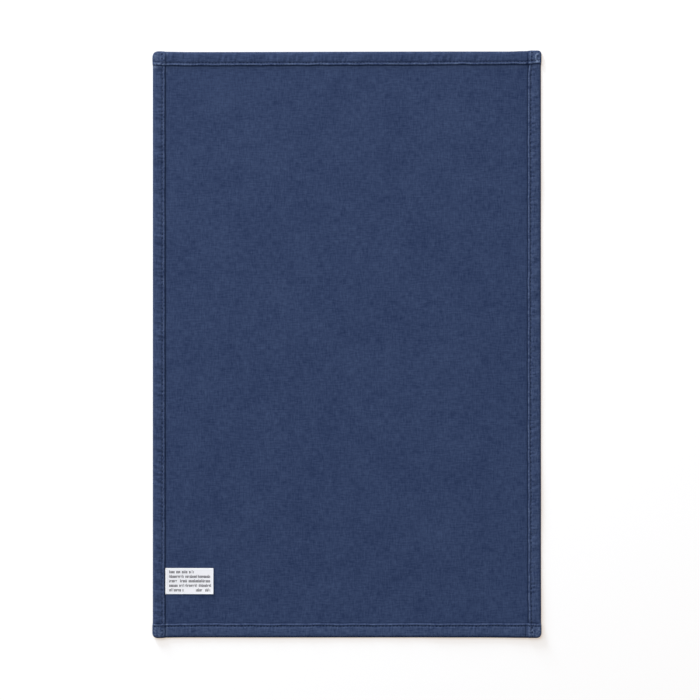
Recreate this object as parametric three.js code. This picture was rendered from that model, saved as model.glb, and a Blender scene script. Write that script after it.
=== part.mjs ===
// A cotton twill tea towel, lying flat with its turned hems upwards, and the care label held by one hem.
// Millimetres: X runs across the towel, Y along it, Z up from the table. The origin is under its middle.
import * as THREE from "three";
import { mergeVertices } from "three/addons/utils/BufferGeometryUtils.js";

// Hemmed size of the towel
const WIDTH = 470.18;
const LENGTH = 709.43;

// One layer of twill, and what the layers turned over it add
const CLOTH_THICKNESS = 1.1;
const SIDE_HEM_RISE = 1.3;
const END_HEM_RISE = 1.4;
const CORNER_PRESS_PER_MM = 0.25; // flattens the stack where an end hem crosses a side hem
const FOLD_RADIUS = 1.2; // how far the rounded outer fold reaches past the flat underside

// Width of each hem, from its fold to its lip
const HEM_WIDTH = { left: 14.95, right: 15.95, bottom: 17.25, top: 16.5 };

// Section of a hem: rise is the share of its full height. The first table is measured in from the fold,
// the second back from the lip, with the sewn valley in the middle of it.
const FOLD_SECTION = [
  { inset: FOLD_RADIUS, rise: 0.62 },
  { inset: 2.4, rise: 0.85 },
  { inset: 4.2, rise: 0.98 },
  { inset: 7.2, rise: 1 },
];
const LIP_SECTION = [
  { back: 5.4, rise: 0.92 },
  { back: 4.3, rise: 0.72 },
  { back: 3.4, rise: 0.54 },
  { back: 2.1, rise: 0.95 },
  { back: 1, rise: 0.95 },
  { back: 0.3, rise: 0.71 },
  { back: 0, rise: 0 },
  { back: -5, rise: 0 },
];

// Each corner: its radius in plan, how far its thick block stands out past the outline, and the shelf, a
// longer swelling of the end beside it: its depth, where it starts to fade, and the length of the fade
const CORNERS = [
  { across: -1, along: 1, radius: 8, blockX: 0.5, blockY: 0.48, shelf: 0.4, level: 12, ramp: 34 },
  { across: 1, along: 1, radius: 4.6, blockX: 0.62, blockY: 0.6, shelf: 0.6, level: 20, ramp: 20 },
  { across: -1, along: -1, radius: 7, blockX: 0.54, blockY: 0.47, shelf: 0.22, level: 8, ramp: 30 },
  { across: 1, along: -1, radius: 6, blockX: 0.46, blockY: 0.14, shelf: 0.36, level: 20, ramp: 60 },
];
const SHELF_REACH = 34; // how far in from the end a shelf is felt
const BLOCK_EDGE = { inside: 4, ramp: 6 }; // a block swells up to this far inside the lips, then fades

// The ends and one side wander by a long wave: its depth, length and the place of its trough
const END_WAVES = [
  { along: 1, depth: 0.33, length: 700, trough: -200 },
  { along: -1, depth: 0.03, length: 360, trough: 120 },
];
const SIDE_WAVES = [{ across: 1, depth: 0.06, length: 1086, trough: 211 }];
const WAVE_REACH = 60;

// Where the edge stands a little off the table
const EDGE_LIFTS = [
  { x: 226, y: -330, reach: 78, height: 1.3 },
  { x: 238, y: -186, reach: 56, height: 0.6 },
  { x: 238, y: 198, reach: 52, height: 0.5 },
  { x: 138, y: -358, reach: 54, height: 0.7 },
  { x: -226, y: -352, reach: 40, height: 0.4 },
];

// Soft unevenness of the cloth's face: direction in degrees, length and height of each ripple
const RIPPLES = [
  { heading: 78, length: 236, height: 0.07 },
  { heading: 12, length: 171, height: 0.06 },
  { heading: 131, length: 118, height: 0.04 },
];

// Care label: a tape laid on the cloth from the lip of the left hem
const LABEL_LENGTH = 58;
const LABEL_WIDTH = 31.6;
const LABEL_THICKNESS = 1;
const LABEL_ABOVE_END = 52.5;
const LABEL_CURL = 0.5; // how far its free end stands up
const CLEARANCE = 0.3;

// Steps of the meshes
const FIELD_STEP = 30;
const FOLD_STEPS = 6;
const LABEL_STEPS = { length: 12, width: 6, thickness: 1 };

const SLIVER = 1e-4;

// 1 at the edge, 0 from the reach inwards, level at both ends
function fade(distance, reach) {
  const share = THREE.MathUtils.clamp(1 - distance / reach, 0, 1);
  return share * share * (3 - 2 * share);
}

// The lines of a hem's section as insets from the outline
function hemLines(width) {
  const lip = LIP_SECTION.map(({ back, rise }) => ({ inset: width - back, rise }));
  return [...FOLD_SECTION, ...lip];
}

// Every grid line across one direction of the towel, low side to high side
function gridLines(size, lowHem, highHem) {
  const low = hemLines(lowHem).map(({ inset, rise }) => ({ at: inset - size / 2, rise }));
  const high = hemLines(highHem).map(({ inset, rise }) => ({ at: size / 2 - inset, rise }));
  high.reverse();
  const start = low.at(-1).at;
  const run = high[0].at - start;
  const steps = Math.round(run / FIELD_STEP);
  const field = Array.from({ length: steps - 1 }, (_, n) => ({
    at: start + (run * (n + 1)) / steps,
    rise: 0,
  }));
  return [...low, ...field, ...high];
}

const COLUMNS = gridLines(WIDTH, HEM_WIDTH.left, HEM_WIDTH.right);
const ROWS = gridLines(LENGTH, HEM_WIDTH.bottom, HEM_WIDTH.top);

// Height of the underside above the table
function liftAt(x, y) {
  return EDGE_LIFTS.reduce((sum, lift) => {
    const share = Math.hypot(x - lift.x, y - lift.y) / lift.reach;
    return sum + lift.height * Math.max(0, 1 - share * share) ** 2;
  }, 0);
}

// What the ripples add to the thickness
function rippleAt(x, y) {
  return RIPPLES.reduce((sum, { heading, length, height }) => {
    const angle = THREE.MathUtils.degToRad(heading);
    const along = x * Math.cos(angle) + y * Math.sin(angle);
    return sum + height * Math.sin((2 * Math.PI * along) / length);
  }, 0);
}

// Turns the square corners of the grid into round ones
function roundCorner(x, y) {
  const { radius } = CORNERS.find(({ across, along }) => across * x >= 0 && along * y >= 0);
  const a = Math.max(0, Math.abs(x) - WIDTH / 2 + radius) / radius;
  const b = Math.max(0, Math.abs(y) - LENGTH / 2 + radius) / radius;
  return {
    x: x - Math.sign(x) * radius * a * (1 - Math.sqrt(1 - (b * b) / 2)),
    y: y - Math.sign(y) * radius * b * (1 - Math.sqrt(1 - (a * a) / 2)),
  };
}

// How far the outline at this place lies from a true rectangle
function wanderAt(x, y) {
  const out = { x: 0, y: 0 };
  for (const corner of CORNERS) {
    const insetX = WIDTH / 2 - corner.across * x;
    const insetY = LENGTH / 2 - corner.along * y;
    const sideHem = corner.across < 0 ? HEM_WIDTH.left : HEM_WIDTH.right;
    const endHem = corner.along < 0 ? HEM_WIDTH.bottom : HEM_WIDTH.top;
    const { inside, ramp } = BLOCK_EDGE;
    const block = fade(insetX - sideHem + inside, ramp) * fade(insetY - endHem + inside, ramp);
    const shelf = fade(insetX - corner.level, corner.ramp) * fade(insetY, SHELF_REACH);
    out.x += corner.across * corner.blockX * block;
    out.y += corner.along * (corner.blockY * block + corner.shelf * shelf);
  }
  for (const { along, depth, length, trough } of END_WAVES) {
    const wave = -depth * Math.cos((2 * Math.PI * (x - trough)) / length);
    out.y += along * wave * fade(LENGTH / 2 - along * y, WAVE_REACH);
  }
  for (const { across, depth, length, trough } of SIDE_WAVES) {
    const wave = -depth * Math.cos((2 * Math.PI * (y - trough)) / length);
    out.x += across * wave * fade(WIDTH / 2 - across * x, WAVE_REACH);
  }
  return out;
}

// A block of cells whose outer vertices are merged, each vertex then moved to shape(i, j, k)
function shapedBlock(steps, shape) {
  const { x: across, y: along, z: up } = steps;
  const block = new THREE.BoxGeometry(1, 1, 1, across, along, up);
  block.deleteAttribute("normal");
  block.deleteAttribute("uv");
  const merged = mergeVertices(block, SLIVER);
  const place = merged.getAttribute("position");
  for (let n = 0; n < place.count; n++) {
    const i = Math.round((place.getX(n) + 0.5) * across);
    const j = Math.round((place.getY(n) + 0.5) * along);
    const k = Math.round((place.getZ(n) + 0.5) * up);
    const { x, y, z } = shape(i, j, k);
    place.setXYZ(n, x, y, z);
  }
  merged.computeVertexNormals();
  return merged;
}

// Cloth: the underside is k = 0, the hemmed face k = FOLD_STEPS, and the outer fold runs between them
function clothPoint(i, j, k) {
  const turn = (k / FOLD_STEPS - 0.5) * Math.PI;
  const roll = FOLD_RADIUS * (1 - Math.cos(turn));
  const lineAt = (lines, n, size) => {
    if (n === 0) return roll - size / 2;
    if (n === lines.length - 1) return size / 2 - roll;
    return lines[n].at;
  };
  const x = lineAt(COLUMNS, i, WIDTH);
  const y = lineAt(ROWS, j, LENGTH);
  const side = SIDE_HEM_RISE * COLUMNS[i].rise;
  const end = END_HEM_RISE * ROWS[j].rise;
  const hems = side + end - CORNER_PRESS_PER_MM * side * end;
  const thickness = CLOTH_THICKNESS + hems + rippleAt(x, y);
  const rounded = roundCorner(x, y);
  const wander = wanderAt(x, y);
  return {
    x: rounded.x + wander.x,
    y: rounded.y + wander.y,
    z: liftAt(x, y) + (thickness * (1 + Math.sin(turn))) / 2,
  };
}

function towelCloth() {
  const steps = { x: COLUMNS.length - 1, y: ROWS.length - 1, z: FOLD_STEPS };
  const twill = new THREE.MeshStandardMaterial({ color: 0x344261, roughness: 0.92, metalness: 0 });
  const mesh = new THREE.Mesh(shapedBlock(steps, clothPoint), twill);
  mesh.name = "towel_cloth";
  return mesh;
}

// Label: lies a clearance above the field, its free end curling up
function labelPoint(i, j, k) {
  const along = i / LABEL_STEPS.length;
  const across = j / LABEL_STEPS.width;
  const x = HEM_WIDTH.left + CLEARANCE - WIDTH / 2 + along * LABEL_LENGTH;
  const y = LABEL_ABOVE_END - LENGTH / 2 + across * LABEL_WIDTH;
  const face = CLOTH_THICKNESS + rippleAt(x, y) + liftAt(x, y);
  const curl = LABEL_CURL * along ** 3 * (1 - across / 2);
  return { x, y, z: face + CLEARANCE + curl + (k / LABEL_STEPS.thickness) * LABEL_THICKNESS };
}

function careLabel() {
  const steps = { x: LABEL_STEPS.length, y: LABEL_STEPS.width, z: LABEL_STEPS.thickness };
  const tape = new THREE.MeshStandardMaterial({ color: 0xebeaef, roughness: 0.6, metalness: 0 });
  const mesh = new THREE.Mesh(shapedBlock(steps, labelPoint), tape);
  mesh.name = "care_label";
  return mesh;
}

// The cloth's box is centred over the origin, and the label keeps its place on the cloth
const towel = new THREE.Group();
towel.add(towelCloth(), careLabel());
const reach = new THREE.Box3().setFromObject(towel.children[0]);
const middle = reach.getCenter(new THREE.Vector3());
towel.position.set(-middle.x, -middle.y, -reach.min.z);

export default towel;
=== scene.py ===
"""Dresses the tea towel: its hemmed twill cloth, the thread of its seams and the care label under one hem."""

import logging
import math
from dataclasses import dataclass, field, fields
from enum import Enum

import bpy
import numpy as np
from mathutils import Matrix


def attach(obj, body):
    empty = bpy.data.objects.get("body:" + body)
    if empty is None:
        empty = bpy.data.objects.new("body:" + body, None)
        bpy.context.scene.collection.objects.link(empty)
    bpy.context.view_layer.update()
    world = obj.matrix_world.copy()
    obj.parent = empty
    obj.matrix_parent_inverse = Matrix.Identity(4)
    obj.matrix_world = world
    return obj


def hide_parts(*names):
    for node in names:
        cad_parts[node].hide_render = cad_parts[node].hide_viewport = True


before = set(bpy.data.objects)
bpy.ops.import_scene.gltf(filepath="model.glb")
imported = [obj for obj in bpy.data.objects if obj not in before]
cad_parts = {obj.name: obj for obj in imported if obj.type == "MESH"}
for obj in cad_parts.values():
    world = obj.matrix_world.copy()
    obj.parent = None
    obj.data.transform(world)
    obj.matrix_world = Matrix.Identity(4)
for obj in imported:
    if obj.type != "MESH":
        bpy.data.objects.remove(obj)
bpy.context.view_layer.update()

LOG = logging.getLogger("tea_towel")
MM = 0.001
TURN = 2 * math.pi

# What is added to a hem's seed for each of its random lines
FINE_DRAW, GATHER_DRAW, GATHER_SWELL_DRAW, COURSE_DRAW, FEED_DRAW, UNDERSIDE_DRAW = 40, 60, 70, 80, 90, 200

FAR_FROM_SEAM = 99.0  # written where no seam is near
COVERED_FROM = 0.05  # share of an end hem's height from which it hides the side hem below it
SLIVER = 0.001  # millimetres

Table = tuple[tuple[float, float], ...]
Colour = tuple[float, float, float]
Socket = bpy.types.NodeSocket


class Side(Enum):
    """The four sides: the axis that crosses the hem, and which way along it leads off the towel."""

    LEFT = (0, -1)
    RIGHT = (0, 1)
    BOTTOM = (1, -1)
    TOP = (1, 1)

    @property
    def axis(self) -> int:
        """The axis that crosses this side's hem: 0 for X, 1 for Y."""
        return self.value[0]

    @property
    def out(self) -> int:
        """The sign of the way off the towel along that axis."""
        return self.value[1]


def fade(distance: np.ndarray, reach: float) -> np.ndarray:
    """A soft step: s x s x (3 - 2 s), where s falls from 1 at distance 0 to 0 at the reach."""
    share = np.clip(1 - distance / reach, 0, 1)
    return share * share * (3 - 2 * share)


def bell(distance: np.ndarray, reach: np.ndarray | float) -> np.ndarray:
    """A soft bump: exp(-(distance / reach) squared)."""
    return np.exp(-((distance / reach) ** 2))


class Drift:
    """A smooth random line, made of a few sine waves whose lengths and phases are drawn from a seed."""

    def __init__(self, seed: int, shortest: float, longest: float, waves: int = 7) -> None:
        """Draws the waves.

        Args:
            seed: picks the draw.
            shortest: shortest wave, in millimetres.
            longest: longest wave, in millimetres.
            waves: how many waves are summed.
        """
        draw = np.random.default_rng(seed)
        self.lengths = np.exp(draw.uniform(math.log(shortest), math.log(longest), waves))
        self.phases = draw.uniform(0, TURN, waves)

    def __call__(self, run: np.ndarray, slant: np.ndarray | float = 0.0) -> np.ndarray:
        """Sum of sin(2 pi run / length + phase + slant), scaled to a spread of about 1.

        Args:
            run: distance along the line, in millimetres.
            slant: phase added at each point, which leans the waves.

        Returns:
            The line's value at each point.
        """
        run = np.asarray(run, float)
        turns = TURN * run[..., None] / self.lengths + self.phases
        waves = np.sin(turns + np.asarray(slant, float)[..., None])
        return waves.sum(-1) * math.sqrt(2 / len(self.lengths))


# The lines on the cloth past every lip
PAST_LIP = ((0.1, 0.0), (-0.5, 0.0), (-1.4, 0.0), (-3.2, 0.0))


class Lip(Enum):
    """How a hem's turned edge ends, as (distance back from the lip, share of the hem's height).

    The first table comes down to the lip, the second goes round it and out on to the cloth below.
    """

    STEEP = (
        ((1.4, 0.98), (1.0, 0.95), (0.6, 0.86), (0.3, 0.71)),
        ((0.12, 0.5), (0.14, 0.27), (0.34, 0.09), (0.6, 0.02), *PAST_LIP),
    )
    SOFT = (
        ((1.9, 1.0), (1.6, 0.97), (1.25, 0.88), (0.95, 0.74), (0.7, 0.56), (0.5, 0.38)),
        ((0.45, 0.22), (0.5, 0.09), (0.45, 0.02), *PAST_LIP),
    )

    @property
    def crest(self) -> Table:
        """The table that comes down to the lip."""
        return self.value[0]

    @property
    def nose(self) -> Table:
        """The table that goes round the lip."""
        return self.value[1]


@dataclass(frozen=True)
class Hem:
    """One turned hem, in millimetres: its width from fold to lip, its seam, its course and its wear.

    The course lists how much wider than its width the hem is at places along it. The painted fold shade is
    painted shade along the outer fold: how far in, and how dark. foot is painted shade under the lip: how far
    out, its reach and how dark. The seam's valley and the needle holes get painted shade too. crest_back is
    how far behind the lip its worn crest lies, and beyond is how strong the painted highlight on the cloth
    just past the lip is.
    """

    side: Side
    width: float
    rise: float
    seam_back: float
    pitch: float
    seed: int
    lip: Lip = Lip.STEEP
    course: Table = ((0.0, 0.0),)
    wander: float = 0.14
    edge_dark: tuple[float, float] = (0.0, 0.0)
    painted_seam_shade: float = 0.0
    wear: float = 1.0
    lip_wear: float = 1.0
    pucker: float = 1.0
    hole_dark: float = 0.6
    foot: tuple[float, float, float] = (0.3, 0.65, 1.0)
    crest_back: float = 1.1
    beyond: float = 0.0
    pitch_drift: float = 0.6
    phase: float = 0.0

    @property
    def seam_inset(self) -> float:
        """Distance of the seam from the outline."""
        return self.width - self.seam_back

    def shift(self, run: np.ndarray) -> np.ndarray:
        """How far seam and lip lie further in than planned: the course and a small drift."""
        places, extra = np.array(self.course).T
        return np.interp(run, places, extra) + self.wander * Drift(self.seed + COURSE_DRAW, 18, 120)(run)

    def stitch_count(self, run: np.ndarray) -> np.ndarray:
        """Stitches sewn up to a place along the hem, whole at each needle hole, with a drifting feed."""
        return (run + self.pitch_drift * Drift(self.seed + FEED_DRAW, 40, 160)(run)) / self.pitch + self.phase


LEFT_COURSE = ((-355.0, 0.4), (-338.0, 0.4), (-328.0, 0.0), (328.0, 0.0), (338.0, 0.4), (355.0, 0.4))
BOTTOM_COURSE = ((-235.0, 0.4), (-215.0, 0.15), (0.0, 0.15), (120.0, 0.25), (200.0, 0.5), (235.0, 0.5))
RIGHT_COURSE = (
    (-355.0, -0.75), (-322.0, -0.65), (-300.0, -0.25), (-201.0, -0.1), (-128.0, 0.2), (17.0, 0.2),
    (128.0, 0.02), (235.0, 0.15), (322.0, 0.0), (334.0, -0.75), (355.0, -0.75),
)
TOP_COURSE = (
    (-235.0, 0.45), (-142.0, 0.37), (-93.0, 0.18), (52.0, 0.0), (101.0, -0.1), (150.0, -0.5),
    (194.0, -0.55), (222.0, -0.6), (231.0, -1.3),
)


@dataclass(frozen=True)
class CornerBlock:
    """Where an end hem crosses a side hem, in millimetres: its shape, and how its worn and dark places lie.

    The block is how far the thick stack stands out past the outline, across and along. The shelf is a longer
    swelling of the end beside it: its depth, where it starts to fade and the length of the fade. The step is
    the side hem's lip as it shows through the end hem: how far in its line of painted shade lies, the line's
    reach, how dark it is, how light its crest is and how strong the painted highlight on the cloth past it
    is. The lip is the end hem's own: how dark the painted shade at its foot is, and over how far from the
    outline that fades.
    """

    across: int
    along: int
    radius: float
    block: tuple[float, float]
    shelf: tuple[float, float, float]
    step_in: float
    step_reach: float
    step_shade: float
    step_light: float
    past_step_highlight: float
    lip_foot_shade: float
    lip_fade: float
    wear: float


CORNER_BLOCKS = (
    CornerBlock(
        across=-1, along=1, radius=7.2, block=(0.5, 0.43), shelf=(0.4, 12.0, 34.0),
        step_in=0.85, step_reach=0.42, step_shade=1.15, step_light=0.9, past_step_highlight=0.3,
        lip_foot_shade=0.8, lip_fade=11.0, wear=0.9,
    ),
    CornerBlock(
        across=1, along=1, radius=4.6, block=(0.62, 0.6), shelf=(0.6, 20.0, 20.0),
        step_in=0.6, step_reach=0.85, step_shade=1.55, step_light=0.6, past_step_highlight=0.0,
        lip_foot_shade=1.05, lip_fade=6.0, wear=0.55,
    ),
    CornerBlock(
        across=-1, along=-1, radius=6.4, block=(0.54, 0.42), shelf=(0.22, 8.0, 30.0),
        step_in=-0.7, step_reach=2.0, step_shade=0.6, step_light=0.0, past_step_highlight=3.4,
        lip_foot_shade=1.4, lip_fade=4.0, wear=1.06,
    ),
    CornerBlock(
        across=1, along=-1, radius=6.0, block=(0.46, 0.06), shelf=(0.36, 20.0, 60.0),
        step_in=3.1, step_reach=0.7, step_shade=1.3, step_light=0.4, past_step_highlight=0.0,
        lip_foot_shade=1.4, lip_fade=5.0, wear=1.27,
    ),
)


@dataclass(frozen=True)
class Dip:
    """A small hollow beside a corner block, or a bump if its depth is below 0, in millimetres."""

    x: float
    y: float
    reach_x: float
    reach_y: float
    depth: float
    # The dark field paints shade over the same bell as the hollow, and the light field paints a highlight
    # over it.
    dark: float = 0.0
    light: float = 0.0

    def shape(self, x: np.ndarray, y: np.ndarray) -> np.ndarray:
        """One bell across times one along, around its middle."""
        return bell(x - self.x, self.reach_x) * bell(y - self.y, self.reach_y)


@dataclass
class Lines:
    """The grid lines across one direction: where each lies, and the share of the hem's height there.

    The plain version has a lip that overhangs its foot. The covered version is what shows through
    the hem that crosses over it: a broad, even step.
    """

    place: np.ndarray
    rise: np.ndarray
    covered_place: np.ndarray
    covered_rise: np.ndarray
    low_count: int
    high_count: int

    @property
    def count(self) -> int:
        """Number of lines."""
        return len(self.place)

    def of_hem(self, count: int) -> np.ndarray:
        """Which of the lines, or of the one fewer steps between them, belong to a hem.

        Args:
            count: number of lines, or of steps.

        Returns:
            True for each line or step of a hem.
        """
        between = self.count - count
        number = np.arange(count)
        return (number < self.low_count - between) | (number >= self.count - self.high_count)


@dataclass(frozen=True)
class TowelForm:
    """The shape of the hemmed cloth as it lies, in millimetres: every height and outline comes from here.

    The two sections are (distance in, share of the hem's height), counted from the fold and from the
    seam. A wave is the side it is on, its depth, length and trough. A lift is x, y, reach and height.
    A ripple is its heading in degrees, length and height. middle is the centre of the outline's box.
    """

    width: float = 470.18
    length: float = 709.43
    middle: tuple[float, float] = (0.019, 0.400)
    cloth: float = 1.1
    fold_radius: float = 1.2
    corner_press: float = 0.25
    hems: tuple[Hem, ...] = (
        Hem(
            Side.LEFT, width=14.95, rise=1.3, seam_back=3.35, pitch=4.8, seed=11,
            course=LEFT_COURSE, lip_wear=1.15, pucker=1.5, hole_dark=0.55, beyond=0.6,
        ),
        Hem(
            Side.RIGHT, width=15.95, rise=1.3, seam_back=3.75, pitch=5.1, seed=12,
            lip=Lip.SOFT, course=RIGHT_COURSE,
            edge_dark=(1.5, 0.3), wear=1.7, lip_wear=1.15, pucker=0.8, hole_dark=0.5,
            foot=(0.75, 0.75, 1.6), crest_back=0.75, phase=0.06,
        ),
        Hem(
            Side.BOTTOM, width=17.25, rise=1.4, seam_back=3.45, pitch=4.0, seed=13,
            lip=Lip.SOFT, course=BOTTOM_COURSE,
            edge_dark=(1.2, 0.92), painted_seam_shade=0.3, wear=1.95, lip_wear=0.38, hole_dark=0.75,
        ),
        Hem(
            Side.TOP, width=16.5, rise=1.4, seam_back=3.3, pitch=4.05, seed=14,
            course=TOP_COURSE, wear=0.75, lip_wear=1.9, hole_dark=0.5, foot=(0.2, 0.45, 1.35), beyond=1.6,
        ),
    )
    fold_section: Table = (
        (1.2, 0.62), (1.8, 0.75), (2.4, 0.85), (3.2, 0.93), (4.2, 0.98), (5.4, 1.0), (6.6, 1.0), (7.8, 1.0),
    )
    valley_section: Table = (
        (-3.1, 0.97), (-2.0, 0.92), (-1.4, 0.84), (-0.9, 0.72), (-0.45, 0.6), (0.0, 0.54),
        (0.35, 0.56), (0.7, 0.67), (1.0, 0.83), (1.3, 0.96),
    )
    corners: tuple[CornerBlock, ...] = CORNER_BLOCKS
    shelf_reach: float = 34.0
    block_edge: tuple[float, float] = (4.0, 6.0)
    end_waves: tuple[tuple[int, float, float, float], ...] = (
        (1, 0.33, 700.0, -200.0),
        (-1, 0.03, 360.0, 120.0),
    )
    side_waves: tuple[tuple[int, float, float, float], ...] = ((1, 0.06, 1086.0, 211.0),)
    wave_reach: float = 60.0
    lifts: tuple[tuple[float, float, float, float], ...] = (
        (226.0, -330.0, 78.0, 1.3),
        (238.0, -186.0, 56.0, 0.6),
        (238.0, 198.0, 52.0, 0.5),
        (138.0, -358.0, 54.0, 0.7),
        (-226.0, -352.0, 40.0, 0.4),
    )
    ripples: tuple[tuple[float, float, float], ...] = (
        (78.0, 236.0, 0.07),
        (12.0, 171.0, 0.06),
        (131.0, 118.0, 0.04),
    )
    # A dip's dark value paints shade over its bell, and its light value paints a highlight.
    dips: tuple[Dip, ...] = (
        Dip(-227.6, 332.1, 4.2, 2.0, 0.2, dark=0.62),
        Dip(-233.0, 336.1, 3.8, 1.9, -0.6, light=8.5),
        Dip(-218.2, 333.0, 1.0, 3.6, -0.1, light=3.2),
        Dip(-218.0, 352.0, 1.4, 2.6, 0.0, light=3.6),
        Dip(232.2, 338.2, 2.2, 1.8, -0.5, light=0.8),
        Dip(-228.2, -337.0, 3.2, 1.8, 0.2, dark=0.9),
        Dip(-222.8, -343.4, 1.7, 2.6, 0.1, dark=0.35),
        Dip(225.7, -337.1, 5.0, 1.7, 0.15, dark=0.7),
        Dip(-220.75, -286.7, 0.68, 21.0, 0.0, dark=1.0),
        Dip(234.7, -343.0, 1.2, 7.0, 0.0, dark=0.35),
    )
    run_step: float = 1.3
    pucker_depth: float = 0.13
    broad_waves: tuple[float, float] = (16, 60)
    broad_lean: float = 2.2
    fine_waves: tuple[float, float] = (6, 15)
    fine_lean: float = 5.0
    fine_share: float = 0.7
    gather_depth: float = 0.13
    gather_waves: tuple[float, float] = (3.4, 6.5)
    gather_lean: float = 1.5
    gather_swell: tuple[float, float] = (25, 90)
    swell_share: float = 0.6
    gather_back: float = 2.6
    gather_reach: float = 2.4
    needle_dent: float = 0.2
    dent_reach: tuple[float, float] = (0.95, 0.9)
    covered_out: tuple[float, float] = (0.1, 3.2)
    covered_slope: tuple[float, float] = (0.8, 1.8)

    def hem(self, side: Side) -> Hem:
        """The hem of one side."""
        return next(hem for hem in self.hems if hem.side is side)

    def size(self, axis: int) -> float:
        """The towel's size along X (0) or Y (1)."""
        return (self.width, self.length)[axis]

    def on(self, hem: Hem, x: np.ndarray, y: np.ndarray) -> tuple[np.ndarray, np.ndarray]:
        """Each place as a distance along a hem, and one in from its outline."""
        here, run = (x, y) if hem.side.axis == 0 else (y, x)
        return run, self.size(hem.side.axis) / 2 - hem.side.out * here

    def lift(self, x: np.ndarray, y: np.ndarray) -> np.ndarray:
        """Height of the underside: a sum of domes, each height x (1 - (distance / reach) squared) squared.

        Args:
            x: places across the towel.
            y: places along the towel.

        Returns:
            The height above the table.
        """
        total = np.zeros(np.broadcast(x, y).shape)
        for centre_x, centre_y, reach, height in self.lifts:
            share = np.hypot(x - centre_x, y - centre_y) / reach
            total = total + height * np.clip(1 - share * share, 0, None) ** 2
        return total

    def ripple(self, x: np.ndarray, y: np.ndarray) -> np.ndarray:
        """Soft unevenness of the face: a sum of height times sin(2 pi distance along the heading / length).

        Args:
            x: places across the towel.
            y: places along the towel.

        Returns:
            What the ripples add to the thickness.
        """
        total = np.zeros(np.broadcast(x, y).shape)
        for heading, length, height in self.ripples:
            angle = math.radians(heading)
            along = x * math.cos(angle) + y * math.sin(angle)
            total = total + height * np.sin(TURN * along / length)
        return total

    def dip(self, name: str, x: np.ndarray, y: np.ndarray) -> np.ndarray:
        """Sum of the dips' bells, each times its depth, its painted shade or its painted highlight, as named.
        """
        return sum(getattr(dip, name) * dip.shape(x, y) for dip in self.dips)

    def wander(self, x: np.ndarray, y: np.ndarray) -> tuple[np.ndarray, np.ndarray]:
        """How far the outline lies from a rectangle: corner blocks, shelves and long waves, fading inwards.

        Args:
            x: places across the towel.
            y: places along the towel.

        Returns:
            The shift of each place in X and in Y.
        """
        out_x = np.zeros(np.broadcast(x, y).shape)
        out_y = np.zeros(np.broadcast(x, y).shape)
        inside, ramp = self.block_edge
        for corner in self.corners:
            inset_x = self.width / 2 - corner.across * x
            inset_y = self.length / 2 - corner.along * y
            past_side_lip = inset_x - self.hem(Side((0, corner.across))).width
            past_end_lip = inset_y - self.hem(Side((1, corner.along))).width
            block = fade(past_side_lip + inside, ramp) * fade(past_end_lip + inside, ramp)
            depth, level, length = corner.shelf
            shelf = depth * fade(inset_x - level, length) * fade(inset_y, self.shelf_reach)
            out_x = out_x + corner.across * corner.block[0] * block
            out_y = out_y + corner.along * (corner.block[1] * block + shelf)
        for along, depth, wave, trough in self.end_waves:
            shift = -depth * np.cos(TURN * (x - trough) / wave)
            out_y = out_y + along * shift * fade(self.length / 2 - along * y, self.wave_reach)
        for across, depth, wave, trough in self.side_waves:
            shift = -depth * np.cos(TURN * (y - trough) / wave)
            out_x = out_x + across * shift * fade(self.width / 2 - across * x, self.wave_reach)
        return out_x, out_y

    def of_corner(self, name: str, x: np.ndarray, y: np.ndarray) -> np.ndarray:
        """A named value of the corner block on each place's quarter of the towel.

        Args:
            name: the field of the corner block.
            x: places across the towel.
            y: places along the towel.

        Returns:
            The value at each place.
        """
        quarter = {(corner.across, corner.along): getattr(corner, name) for corner in self.corners}
        left = np.where(y > 0, quarter[-1, 1], quarter[-1, -1])
        right = np.where(y > 0, quarter[1, 1], quarter[1, -1])
        return np.where(x > 0, right, left)

    def round_corner(self, x: np.ndarray, y: np.ndarray) -> tuple[np.ndarray, np.ndarray]:
        """Turns square corners into round ones: the elliptical map of a square on a disc.

        Args:
            x: places across the towel.
            y: places along the towel.

        Returns:
            The places after rounding.
        """
        radius = self.of_corner("radius", x, y)
        a = np.clip(np.abs(x) - self.width / 2 + radius, 0, None) / radius
        b = np.clip(np.abs(y) - self.length / 2 + radius, 0, None) / radius
        round_x = x - np.sign(x) * radius * a * (1 - np.sqrt(1 - b * b / 2))
        round_y = y - np.sign(y) * radius * b * (1 - np.sqrt(1 - a * a / 2))
        return round_x, round_y

    def section(self, hem: Hem, inset: np.ndarray) -> np.ndarray:
        """Share of the hem's height at a distance from the outline, from the fold to just before the lip."""
        places, rises = np.array(self.hem_rows(hem)).T
        return np.interp(inset, places, rises)

    def hem_rows(self, hem: Hem) -> list[tuple[float, float]]:
        """The section of a hem as (inset, rise), from the fold to just before the lip."""
        valley = [(hem.seam_inset + offset, rise) for offset, rise in self.valley_section]
        return [*self.fold_section, *valley, *((hem.width - back, rise) for back, rise in hem.lip.crest)]

    def pucker(self, hem: Hem, run: np.ndarray, inset: np.ndarray) -> np.ndarray:
        """Small unevenness of a hem: leaning waves, and short gathers beside the seam.

        The waves are a drift along the hem whose phase leans with the distance from the fold, times
        sin(pi share) to the power 0.7, so that they die out at the fold and near the lip. The gathers
        are a shorter drift times a bell around the fold side of the seam.

        Args:
            hem: the hem.
            run: distance along the hem.
            inset: distance from the outline.

        Returns:
            The height to add.
        """
        share = np.clip(inset / hem.width, 0, 1)
        broad = Drift(hem.seed, *self.broad_waves)(run, self.broad_lean * share)
        fine = Drift(hem.seed + FINE_DRAW, *self.fine_waves)(run, self.fine_lean * share)
        level = hem.pucker * self.pucker_depth * np.sin(math.pi * share) ** 0.7
        waves = level * (broad + self.fine_share * fine)
        gathers = Drift(hem.seed + GATHER_DRAW, *self.gather_waves)(run, self.gather_lean * share)
        swell = 1 + self.swell_share * Drift(hem.seed + GATHER_SWELL_DRAW, *self.gather_swell)(run)
        beside_seam = bell(inset - hem.seam_inset + self.gather_back, self.gather_reach)
        return waves + self.gather_depth * gathers * swell * beside_seam

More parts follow.
